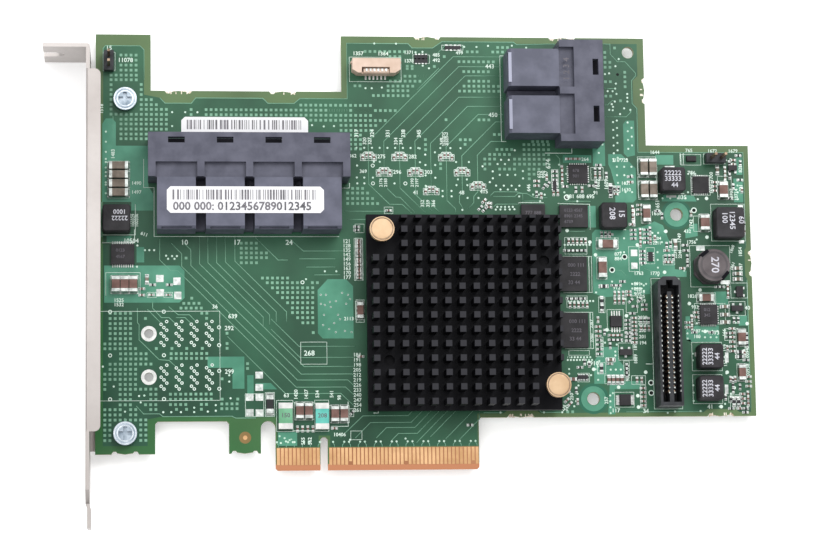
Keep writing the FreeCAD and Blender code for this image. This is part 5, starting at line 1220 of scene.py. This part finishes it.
# single chips: middle, angle, size, body
LONE_CHIPS = [
    (43.55, 16.65, 90, "1806", "black"),
    (129.0, 46.4, 0, "0603", "black"), (135.9, 42.7, 45, "0402", "black"),
    (137.0, 41.2, 0, "0402", "black"), (136.2, 39.4, 0, "0402", "black"),
    (138.2, 42.9, 45, "0402", "black"), (139.4, 41.6, 0, "0402", "black"),
    (139.4, 40.4, 0, "0402", "brown"), (130.1, 26.5, 0, "0402", "tan"),
    (130.3, 31.1, 90, "0402", "black"), (128.9, 34.6, 90, "0402", "black"),
    (119.5, 19.9, 90, "0402", "brown"), (121.3, 19.8, 90, "0402", "black"),
    (124.8, 26.4, 90, "0402", "black"), (123.6, 27.0, 90, "0402", "black"),
    (122.4, 25.6, 0, "0402", "black"), (160.3, 41.1, 0, "0603", "tan"),
    (160.3, 39.0, 0, "0603", "tan"), (160.3, 37.1, 0, "0603", "tan"),
    (152.2, 34.5, 0, "0402", "black"), (156.6, 34.5, 0, "0402", "black"),
    (160.6, 30.3, 90, "0402", "brown"), (165.0, 29.2, 90, "0402", "brown"),
    (165.4, 27.3, 0, "0402", "black"), (161.2, 14.9, 0, "0402", "black"),
    (163.4, 14.9, 0, "0402", "brown"), (164.9, 14.9, 0, "0402", "black"),
    (163.6, 20.4, 90, "0402", "black"), (159.8, 17.8, 90, "0402", "black"),
    (128.4, 77.8, 0, "0402", "black"), (130.4, 75.2, 90, "0402", "black"),
    (136.6, 74.8, 0, "0402", "black"), (136.6, 73.4, 0, "0402", "brown"),
    (141.4, 61.0, 90, "0402", "black"), (142.6, 58.8, 90, "0402", "brown"),
    (165.5, 78.4, 90, "0402", "black"), (163.5, 72.3, 90, "0402", "black"),
    (165.3, 74.0, 0, "0402", "black"), (165.7, 71.4, 90, "0402", "brown"),
    (162.5, 69.2, 0, "0402", "black"), (166.0, 62.4, 90, "0402", "black"),
    (166.0, 60.6, 90, "0402", "brown"), (145.6, 57.0, 90, "0402", "black"),
    (146.6, 57.2, 90, "0402", "black"), (145.6, 55.6, 0, "0402", "brown"),
    (150.4, 57.0, 0, "0402", "black"), (150.6, 55.6, 0, "0402", "black"),
    (150.9, 53.8, 90, "0402", "black"), (150.9, 52.2, 90, "0402", "black"),
    (149.6, 51.0, 0, "0402", "brown"), (144.6, 64.6, 90, "0402", "black"),
    (143.4, 65.8, 0, "0402", "black"), (112.2, 70.2, 90, "0402", "black"),
    (113.4, 69.8, 90, "0402", "brown"), (119.6, 72.2, 0, "0402", "black"),
    (126.4, 72.4, 0, "0402", "black"), (127.6, 72.8, 90, "0402", "black"),
    (124.0, 71.4, 90, "0402", "brown"), (122.4, 71.4, 90, "0402", "black"),
]

# length, width and height of each size
SMALL_SIZES = {"0402": (1.0, 0.5, 0.35), "0603": (1.6, 0.8, 0.45), "1806": (4.6, 1.7, 0.6)}

# bare tinned pads: middle, width, depth
BARE_PADS = [
    (16.1, 48.5, 1.9, 1.8), (16.2, 44.9, 1.9, 1.8), (20.4, 47.8, 1.8, 1.9), (20.6, 44.2, 1.8, 1.9),
    (38.5, 18.4, 1.9, 1.7), (38.5, 14.6, 1.9, 1.7), (40.9, 18.4, 1.9, 1.7), (40.9, 14.5, 1.9, 1.7),
    (40.9, 24.0, 1.9, 1.7), (40.9, 20.9, 1.9, 1.7), (137.1, 55.0, 1.7, 1.7),
    (137.1, 51.7, 1.6, 1.6), (137.2, 64.2, 0.8, 4.6), (165.2, 67.0, 1.3, 0.9),
    (165.2, 57.9, 1.3, 0.8), (154.4, 56.2, 2.2, 1.2), (160.6, 47.4, 2.4, 1.0),
    (152.5, 28.8, 0.8, 1.0), (152.6, 20.3, 0.8, 1.0), (160.4, 28.0, 0.9, 2.6),
    (160.1, 19.8, 0.9, 2.4), (147.0, 77.4, 2.6, 0.5), (147.2, 69.7, 2.6, 0.6),
]


def small_places():
    """(x, y, angle, size, body) of every chip of the rows and every single one."""
    for x, y, step_x, step_y, count, angle, size, body in SMALL_ROWS:
        for i in range(count):
            yield x + i * step_x, y + i * step_y, angle, size, body
    yield from LONE_CHIPS


def add_turned(bm, x, y, angle, low, high):
    """A block given by corners round a chip's own middle, turned with the chip."""
    turn = Matrix.Translation(at(x, y)) @ Matrix.Rotation(math.radians(angle), 4, "Z")
    middle = (Vector(low) + Vector(high)) / 2 * MM
    size = (Vector(high) - Vector(low)) * MM
    bmesh.ops.create_cube(bm, size=1, matrix=turn @ Matrix.Translation(middle)
                          @ Matrix.Diagonal((*size, 1)))


def add_solder(bm, x, y, angle, start, width, height, reach):
    """A fillet that slopes from a chip's end cap down to its pad."""
    turn = Matrix.Translation(at(x, y)) @ Matrix.Rotation(math.radians(angle), 4, "Z")
    corners = []
    for side in (-width / 2, width / 2):
        for along, up in ((start, 0.03), (start + reach, 0.03), (start + reach * 0.45, height * 0.3),
                          (start, height * 0.75)):
            corners.append(bm.verts.new(turn @ (Vector((along, side, up)) * MM)))
    for i in range(4):
        j = (i + 1) % 4
        bm.faces.new((corners[i], corners[j], corners[j + 4], corners[i + 4]))
    bm.faces.new(corners[:4])
    bm.faces.new(corners[7:3:-1])


def add_chip_ends(bm, x, y, angle, length, width, height, share):
    """End caps, solder and pads of a two-ended chip."""
    cap = length * share
    for side in (0, 180):
        turned = angle + side
        half = length / 2
        add_turned(bm, x, y, turned, (half - cap, -width / 2 - 0.02, 0.02),
                   (half + 0.02, width / 2 + 0.02, height + 0.02))
        add_solder(bm, x, y, turned, half + 0.02, width * 0.9, height, min(0.45, length * 0.3))
        add_turned(bm, x, y, turned, (half - cap, -width / 2 - 0.08, 0),
                   (half + min(0.5, length * 0.35), width / 2 + 0.08, 0.05))


def chip_frame(box):
    """Middle, angle, length, width and height of a chip from its box."""
    x0, y0, x1, y1, top = box
    middle = ((x0 + x1) / 2, (y0 + y1) / 2)
    if x1 - x0 > y1 - y0:
        return (*middle, 0, x1 - x0, y1 - y0, top)
    return (*middle, 90, y1 - y0, x1 - x0, top)


class CARD_OT_small_parts(bpy.types.Operator):
    """Add the smallest chips, end caps, solder and bare pads"""

    bl_idname = "card.small_parts"
    bl_label = "Small parts"

    def execute(self, context):
        looks = finishes()
        metal = bmesh.new()
        bodies = {"brown": bmesh.new(), "black": bmesh.new(), "tan": bmesh.new()}
        for x, y, angle, size, body in small_places():
            length, width, height = SMALL_SIZES[size]
            add_turned(bodies[body], x, y, angle, (-length * 0.42, -width / 2, 0.04),
                       (length * 0.42, width / 2, height))
            add_chip_ends(metal, x, y, angle, length, width, height, 0.24)
        for node, share in (("capacitors_tan", 0.16), ("capacitors_brown", 0.2),
                            ("small_capacitors", 0.24), ("small_resistors", 0.2)):
            for box in islands(node):
                add_chip_ends(metal, *chip_frame(box), share)
        for box in islands("resistor_arrays"):
            add_array_ends(metal, *chip_frame(box))
        for x, y, width, depth in BARE_PADS:
            add_block(metal, x - width / 2, y - depth / 2, 0, x + width / 2, y + depth / 2, 0.07)
        finish_piece("solder_and_caps", metal, looks["solder"])
        finish_piece("small_brown_bodies", bodies["brown"], looks["ceramic_brown"])
        finish_piece("small_tan_bodies", bodies["tan"], looks["ceramic_tan"])
        finish_piece("small_black_bodies", bodies["black"], looks["resistor_black"])
        return {"FINISHED"}


def add_array_ends(bm, x, y, angle, length, width, height):
    """Four pairs of terminals along a resistor array."""
    for i in range(4):
        along = (i - 1.5) * length / 4
        for side in (-1, 1):
            near, far = sorted((side * width * 0.3, side * (width / 2 + 0.3)))
            add_turned(bm, x, y, angle, (along - length * 0.07, near, 0.03),
                       (along + length * 0.07, far, height * 0.6 + 0.03))


# ------------------------------------------------------------------ larger parts


# bars on the labels: node, where they start and end as shares of its depth
LABEL_BARS = [("label_large", 0.50, 0.88), ("label_small", 0.42, 0.86)]
BAR_WIDTHS = (0.16, 0.16, 0.3, 0.46)
BAR_GAPS = (0.2, 0.3, 0.42, 0.7)


class CARD_OT_labels(bpy.types.Operator):
    """Print bar patterns on the two labels"""

    bl_idname = "card.labels"
    bl_label = "Label bars"

    def execute(self, context):
        chance = random.Random(11)
        ink = bmesh.new()
        for node, start, end in LABEL_BARS:
            low, high = card_box(node)
            depth = high.y - low.y
            x = low.x + 1.4
            while x < high.x - 1.7:
                width = chance.choice(BAR_WIDTHS)
                chance.random()        # a spare draw, which the places of the bars count on
                add_block(ink, x, low.y + depth * start, high.z,
                          x + width, low.y + depth * end, high.z + 0.02)
                x += width + chance.choice(BAR_GAPS)
        finish_piece("label_bars", ink, finishes()["ink"])
        return {"FINISHED"}


# flat packages: node, leads on the upright sides, on the level sides, how far they reach
FLAT_LEADS = [
    ("regulator_bracket_side", 0, 10, 0.75), ("regulator_upper", 8, 8, 0.42),
    ("logic_chip", 8, 8, 0.42), ("power_controller", 8, 9, 0.5), ("clock_chip", 6, 0, 0.5),
]

# three-legged transistors: middle, way that the single leg points, half the pair's pitch
TRANSISTOR_LEADS = [
    (164.15, 44.9, 90, 0.95), (163.4, 40.6, 180, 0.95), (134.2, 29.4, 180, 0.95),
    (163.3, 77.1, 0, 0.8),
]


def flat_leads():
    """Short leads along the sides of the flat packages, and the transistors' three legs."""
    bm = bmesh.new()
    for node, upright, level, reach in FLAT_LEADS:
        for x0, y0, x1, y1, _ in islands(node):
            for i in range(level):
                x = x0 + (x1 - x0) * (i + 0.75) / (level + 0.5)
                add_block(bm, x - 0.13, y0 - reach, 0, x + 0.13, y0 + 0.02, 0.2)
                add_block(bm, x - 0.13, y1 - 0.02, 0, x + 0.13, y1 + reach, 0.2)
            for i in range(upright):
                y = y0 + (y1 - y0) * (i + 0.75) / (upright + 0.5)
                add_block(bm, x0 - reach, y - 0.13, 0, x0 + 0.02, y + 0.13, 0.2)
                add_block(bm, x1 - 0.02, y - 0.13, 0, x1 + reach, y + 0.13, 0.2)
    for x, y, angle, spread in TRANSISTOR_LEADS:
        for along in (-spread, spread):
            add_turned(bm, x, y, angle, (along - 0.3, -1.35, 0.02), (along + 0.3, -0.3, 0.3))
        add_turned(bm, x, y, angle, (-0.3, 0.3, 0.02), (0.3, 1.35, 0.3))
    return bm


# plain digits on larger parts: node, digits, place along X and Y as shares, height, angle
PART_DIGITS = [
    ("choke_middle", "15", 0.68, 0.72, 1.5, -90), ("choke_middle", "208", 0.32, 0.80, 1.5, -90),
    ("choke_large", "100", 0.22, 0.84, 1.4, -90), ("choke_large", "12345", 0.48, 0.88, 1.4, -90),
    ("choke_large", "60", 0.80, 0.70, 1.4, -90), ("drum_choke_core", "270", 0.42, 0.76, 2.0, -90),
    ("choke_upper", "22222", 0.12, 0.66, 1.25, 0), ("choke_upper", "33333", 0.12, 0.42, 1.25, 0),
    ("choke_upper", "44", 0.40, 0.16, 1.25, 0),
    ("choke_lower_one", "22222", 0.30, 0.12, 1.25, 90),
    ("choke_lower_one", "33333", 0.55, 0.12, 1.25, 90),
    ("choke_lower_one", "44", 0.82, 0.34, 1.25, 90),
    ("choke_lower_two", "22222", 0.30, 0.12, 1.25, 90),
    ("choke_lower_two", "33333", 0.55, 0.12, 1.25, 90),
    ("choke_lower_two", "44", 0.82, 0.34, 1.25, 90),
    ("choke_bracket_side", "1000", 0.84, 0.80, 1.15, 180),
    ("choke_bracket_side", "22222", 0.90, 0.56, 1.15, 180),
]


# faint digits on the chips: node, digits, place along X and Y as shares, height
CHIP_DIGITS = [
    ("memory_chips", "000 111", 0.62, 0.70, 0.95), ("memory_chips", "2222", 0.66, 0.44, 0.95),
    ("memory_chips", "33 44", 0.62, 0.20, 0.95), ("buffer_chip", "777 888", 0.16, 0.66, 0.9),
    ("flash_chip", "0123 4567", 0.16, 0.70, 0.8), ("flash_chip", "8901 2345", 0.16, 0.44, 0.8),
    ("flash_chip", "6789", 0.16, 0.18, 0.8), ("regulator_bracket_side", "0123", 0.2, 0.62, 0.8),
    ("regulator_bracket_side", "4567", 0.2, 0.30, 0.8), ("logic_chip", "678", 0.2, 0.60, 0.8),
    ("power_controller", "012", 0.2, 0.66, 0.8), ("power_controller", "345", 0.2, 0.38, 0.8),
    ("logic_chip", "901", 0.2, 0.30, 0.8), ("fuse_green", "150", 0.16, 0.40, 1.1),
    ("fuse_teal", "208", 0.16, 0.40, 1.1),
]


class CARD_OT_part_digits(bpy.types.Operator):
    """Mark coils, chips, fuses, a socket and a label with plain digits"""

    bl_idname = "card.part_digits"
    bl_label = "Digits on parts"

    def execute(self, context):
        looks = finishes()
        for i, (node, text, share_x, share_y, height, angle) in enumerate(PART_DIGITS):
            low, high = card_box(node)
            x = low.x + (high.x - low.x) * share_x
            y = low.y + (high.y - low.y) * share_y
            top = high.z + (0.05 if node == "drum_choke_core" else 0)
            add_digits("mark_%d" % i, [(text, x, y, height, angle)], top + 0.02,
                       looks["mark"], top)
        for i, (node, text, share_x, share_y, height) in enumerate(CHIP_DIGITS):
            for j, (x0, y0, x1, y1, top) in enumerate(islands(node)):
                place = (text, x0 + (x1 - x0) * share_x, y0 + (y1 - y0) * share_y, height, 0)
                add_digits("chip_mark_%d_%d" % (i, j), [place], top + 0.02, looks["faint_mark"],
                           top)
        low, high = card_box("dual_socket_housing")
        add_digits("socket_mark", [("1 2 3 4", low.x + 14.9, low.y + 15.6, 1.5, 90)],
                   high.z + 0.02, looks["faint_mark"], high.z)
        low, high = card_box("label_large")
        places = [("000 000: 0123456789012345", low.x + 1.5, low.y + 0.75, 2.1, 0)]
        add_digits("label_digits", places, high.z + 0.02, looks["ink"], high.z,
                   0.035)
        return {"FINISHED"}


class CARD_OT_fittings(bpy.types.Operator):
    """Dress sockets, push pins, coils and the stacking connector"""

    bl_idname = "card.fittings"
    bl_label = "Fittings"

    def execute(self, context):
        looks = finishes()
        finish_piece("stacking_outer_contacts", stacking_contacts(), looks["solder"])
        finish_piece("flat_leads", flat_leads(), looks["solder"])
        finish_piece("drum_top", drum_top(), looks["drum_face"])
        finish_piece("push_pin_rims", push_pin_rims(), looks["pin_brass"])
        finish_piece("push_pin_grooves", push_pin_grooves(), looks["dull_gold_and_shade"])
        finish_piece("port_floors", port_floors(), looks["painted_shade_black"])
        finish_piece("screw_rims", screw_rims(), looks["painted_highlight_metal"])
        finish_piece("module_lips", module_lips(), looks["painted_highlight_nylon"])
        finish_piece("broken_fibres", broken_fibres(), looks["fibre"])
        finish_piece("cable_floor", cable_floor(), looks["connector_beige"])
        finish_piece("drum_notches", drum_notches(), looks["painted_shade_black"])
        return {"FINISHED"}


def stacking_contacts():
    """Bright tips of the contacts: an outer column on each long wall and the tongue's two."""
    bm = bmesh.new()
    low, high = card_box("stacking_connector")
    inner = islands("stacking_connector_contacts")
    top = high.z - 0.12
    for y in sorted({round((box[1] + box[3]) / 2, 2) for box in inner}):
        for x in (low.x + 0.60, high.x - 0.60):
            add_block(bm, x - 0.17, y - 0.22, top - 1.6, x + 0.17, y + 0.22, top)
    for x0, y0, x1, y1, _ in inner:
        x, y = (x0 + x1) / 2, (y0 + y1) / 2
        add_block(bm, x - 0.17, y - 0.62, top - 0.3, x + 0.17, y - 0.30, top + 0.02)
    return bm


def cable_floor():
    """The pale tongue in the small socket's slot, between its contacts."""
    bm = bmesh.new()
    low, high = card_box("cable_socket_housing")
    contacts = islands("cable_socket_contacts")
    add_block(bm, contacts[0][0] - 0.55, low.y + 0.2, 1.25, contacts[-1][2] + 0.55, low.y + 1.2,
              high.z - 0.8)
    return bm


def drum_notches():
    """Dark blocks at two corners of the drum core, where its wire comes out: painted shade in the
    gaps there.
    """
    bm = bmesh.new()
    x, y, radius, top = round_box("drum_choke_core")
    for angle in (128, -42):
        turn = math.radians(angle)
        add_turned(bm, x + radius * 0.93 * math.cos(turn), y + radius * 0.93 * math.sin(turn),
                   angle, (-0.45, -1.2, top - 1.6), (0.45, 1.2, top + 0.07))
    return bm


def drum_top():
    """The raised face of the drum core, inside its rim."""
    bm = bmesh.new()
    x, y, radius, top = round_box("drum_choke_core")
    add_disc(bm, x, y, top - 0.01, top + 0.05, radius * 0.74, 40, radius * 0.72)
    add_ring(bm, x, y, top - 0.01, top + 0.05, radius * 0.985, radius * 0.86, 40)
    return bm


PUSH_PINS = ("push_pin_upper", "push_pin_lower")


def push_pin_rims():
    """The turned edge and face of each push pin's head, on either side of a groove."""
    bm = bmesh.new()
    for node in PUSH_PINS:
        x, y, radius, top = round_box(node)
        add_ring(bm, x, y, top - 0.02, top + 0.05, radius * 0.985, radius * 0.93, 40)
        add_disc(bm, x, y, top - 0.02, top + 0.04, radius * 0.84, 40, radius * 0.8)
    return bm


def push_pin_grooves():
    """The dark groove ring between the edge and the face of each push pin's head: painted shade of
    the groove.
    """
    bm = bmesh.new()
    for node in PUSH_PINS:
        x, y, radius, top = round_box(node)
        add_ring(bm, x, y, top - 0.02, top + 0.01, radius * 0.93, radius * 0.84, 40)
    return bm


def port_floors():
    """A dark plate on the bottom of every cable port, below its latch window: painted shade inside
    the port.
    """
    bm = bmesh.new()
    for x0, _, x1, _, _ in islands("quad_terminal_modules"):
        add_block(bm, x0 + 0.2, 79.0, 1.62, x1 - 0.2, 84.0, 1.7)
    for _, y0, _, y1, _ in islands("dual_terminal_modules"):
        add_block(bm, 123.4, y0 + 0.2, 1.62, 128.4, y1 - 0.2, 1.7)
    return bm


def screw_rims():
    """Lighter metal rings at the washer edge and round the dome of the bracket's screws: painted
    highlights.
    """
    bm = bmesh.new()
    for node in ("bracket_screw_upper", "bracket_screw_lower"):
        x, y, radius, top = round_box(node)
        add_ring(bm, x, y, top - 0.02, top + 0.04, radius * 0.97, radius * 0.86, 32)
        add_ring(bm, x, y, top - 0.02, top + 0.04, radius * 0.72, radius * 0.62, 32)
    return bm


def module_lips():
    """A light strip along the near edge of each module behind the two-port socket: a painted
    highlight where that edge catches the light.
    """
    bm = bmesh.new()
    for x0, y0, x1, y1, top in islands("dual_terminal_modules"):
        if x1 - x0 > 8 and y1 - y0 > 8:
            add_block(bm, x0 + 0.05, y0 + 1.0, top - 0.02, x0 + 0.85, y1 - 1.0, top + 0.04)
    return bm


# each broken web: middle and the way its fibres point
SCARS = [
    (20.9, 96.63, 90), (47.4, 96.63, 90), (84.6, 111.15, 90), (119.6, 111.15, 90),
    (107.0, 13.01, 270), (158.5, 13.01, 270), (140.6, 97.3, 0), (167.65, 52.29, 0),
]


def broken_fibres():
    """Short glass fibres that stand out of every broken web."""
    bm = bmesh.new()
    chance = random.Random(5)
    thick = BOARD_THICKNESS
    for x, y, direction in SCARS:
        for _ in range(46):
            along = chance.uniform(-3.2, 3.2)
            reach = chance.uniform(-0.45, 0.12)
            level = chance.uniform(-thick * 0.9, -0.3)
            add_turned(bm, x, y, direction - 90, (along - 0.12, -0.85, level),
                       (along + 0.12, reach, chance.uniform(level + 0.2, 0.04)))
    return bm


BACK_SHIFT = 1.3                   # of the back's tracks from the longer ones of the front


class CARD_OT_back(bpy.types.Operator):
    """Lay the plane, vias, tracks and solder on the back of the board"""

    bl_idname = "card.back"
    bl_label = "Back side"

    def execute(self, context):
        looks = finishes()
        low = -BOARD_THICKNESS
        holes = clearings(ALL_HOLES)
        for node in PUSH_PINS:
            x, y, _, _ = round_box(node)
            holes.append(circle(x, y, 2.0, 24))
        add_flat("back_plane", [PLANE] + holes, low - 0.01, low, looks["plane"])
        dots = [circle(x, y, VIA_RADIUS, 8) for x, y in via_places()]
        add_flat("back_vias", dots, low - 0.03, low, looks["via"])
        routes = [[(x + BACK_SHIFT, y) for x, y in route] for route in TRACKS if len(route) > 3]
        add_strip_piece("back_tracks", routes, 0.3, low - 0.03, low, looks["masked_copper"])
        solder = bmesh.new()
        for node in ("jumper_header_pins", "alarm_header_pins"):
            for x0, y0, x1, y1, _ in islands(node):
                add_disc(solder, (x0 + x1) / 2, (y0 + y1) / 2, low - 0.5, low, 0.35, 16, 0.8)
        finish_piece("back_solder", solder, looks["solder"])
        return {"FINISHED"}


# ------------------------------------------------------------------ stage


# lamps: name, place in metres, size, share of the key lamp's power
LAMPS = [("key_lamp", (0.3, 0.5, 0.75), 0.5, 1.0), ("fill_lamp", (-0.4, 0.1, 0.8), 0.7, 0.45)]

# the camera: place on the card in millimetres, and the ways to its right and to its back
CAMERA_PLACE = (9.9, -45.6, 682.6)
CAMERA_RIGHT = (0.9949, -0.0147, 0.0997)
CAMERA_BACK = (-0.1008, -0.1387, 0.9852)
SENSOR_WIDTH = 36


class CARD_OT_stage(bpy.types.Operator):
    """Build the floor, the lamps and the camera"""

    bl_idname = "card.stage"
    bl_label = "Stage"

    def execute(self, context):
        settings = context.scene.card_stage
        floor = make_floor()
        for name, place, size, share in LAMPS:
            add_lamp(name, place, size, settings.lamp_power * share)
        make_world(settings.world_strength)
        make_camera(settings.lens)
        context.scene.view_settings.view_transform = "Standard"
        return {"FINISHED"}


def make_floor():
    """A wide pale floor under the card, lit a little by itself for the camera."""
    bm = bmesh.new()
    bmesh.ops.create_grid(bm, x_segments=1, y_segments=1, size=3)
    bottom = cad_bounds[0][2]
    bmesh.ops.translate(bm, verts=bm.verts, vec=(0, 0, bottom - 0.0002))
    mesh = bpy.data.meshes.new("floor")
    bm.to_mesh(mesh)
    bm.free()
    floor = bpy.data.objects.new("floor", mesh)
    bpy.context.scene.collection.objects.link(floor)
    material = bpy.data.materials.new("pale_floor")
    material.use_nodes = True
    nodes, link = material.node_tree.nodes, material.node_tree.links.new
    surface = nodes["Principled BSDF"]
    surface.inputs["Base Color"].default_value = (0.9, 0.9, 0.9, 1)
    surface.inputs["Roughness"].default_value = 0.9
    surface.inputs["Specular IOR Level"].default_value = 0.1
    surface.inputs["Emission Color"].default_value = (1, 1, 1, 1)
    rays = nodes.new("ShaderNodeLightPath")
    seen = nodes.new("ShaderNodeMath")
    seen.operation = "MAXIMUM"
    strength = nodes.new("ShaderNodeMath")
    strength.operation = "MULTIPLY"
    strength.inputs[1].default_value = 0.35
    link(rays.outputs["Is Camera Ray"], seen.inputs[0])
    link(rays.outputs["Is Glossy Ray"], seen.inputs[1])
    link(seen.outputs["Value"], strength.inputs[0])
    link(strength.outputs["Value"], surface.inputs["Emission Strength"])
    mesh.materials.append(material)
    return floor


def add_lamp(name, place, size, power):
    """A soft square lamp that points at the card."""
    lamp = bpy.data.lights.new(name, "AREA")
    lamp.shape = "SQUARE"
    lamp.size = size
    lamp.energy = power
    holder = bpy.data.objects.new(name, lamp)
    holder.location = place
    aim = Vector((0, 0, 0)) - Vector(place)
    holder.rotation_euler = aim.to_track_quat("-Z", "Y").to_euler()
    bpy.context.scene.collection.objects.link(holder)


def make_world(strength):
    """White light from all around."""
    world = bpy.data.worlds.new("studio")
    world.use_nodes = True
    back = world.node_tree.nodes["Background"]
    back.inputs["Color"].default_value = (1, 1, 1, 1)
    back.inputs["Strength"].default_value = strength
    bpy.context.scene.world = world


def make_camera(lens):
    """A camera high over the card, leaning a little towards its far and upper sides."""
    camera = bpy.data.cameras.new("camera")
    camera.lens = lens
    camera.sensor_width = SENSOR_WIDTH
    camera.clip_start = 0.05
    holder = bpy.data.objects.new("camera", camera)
    right = Vector(CAMERA_RIGHT).normalized()
    back = Vector(CAMERA_BACK).normalized()
    up = back.cross(right)
    turn = Matrix((right, up, back)).transposed().to_4x4()
    holder.matrix_world = Matrix.Translation(at(*CAMERA_PLACE)) @ turn
    bpy.context.scene.collection.objects.link(holder)
    bpy.context.scene.camera = holder


# ------------------------------------------------------------------ panel and registration

STEPS = [
    CARD_OT_finishes, CARD_OT_copper, CARD_OT_vias, CARD_OT_legend, CARD_OT_small_parts,
    CARD_OT_labels, CARD_OT_part_digits, CARD_OT_fittings, CARD_OT_back, CARD_OT_stage,
]


class CARD_PT_panel(bpy.types.Panel):
    """Lists the steps and settings of the card"""

    bl_label = "Controller card"
    bl_space_type = "VIEW_3D"
    bl_region_type = "UI"
    bl_category = "Card"

    def draw(self, context):
        for step in STEPS:
            self.layout.operator(step.bl_idname)
        for settings in (context.scene.card_board, context.scene.card_stage):
            for label in settings.bl_rna.properties.keys():
                if label not in ("rna_type", "name"):
                    self.layout.prop(settings, label)


CLASSES = [BoardSettings, StageSettings, *STEPS, CARD_PT_panel]


def register():
    """Makes the settings, steps and panel known to Blender."""
    for item in CLASSES:
        bpy.utils.register_class(item)
    bpy.types.Scene.card_board = PointerProperty(type=BoardSettings)
    bpy.types.Scene.card_stage = PointerProperty(type=StageSettings)


def unregister():
    """Takes them away again."""
    del bpy.types.Scene.card_stage
    del bpy.types.Scene.card_board
    for item in reversed(CLASSES):
        bpy.utils.unregister_class(item)


def main():
    """Runs every step in order."""
    register()
    for step in STEPS:
        group, name = step.bl_idname.split(".")
        getattr(getattr(bpy.ops, group), name)()


if __name__ == "__main__":
    main()
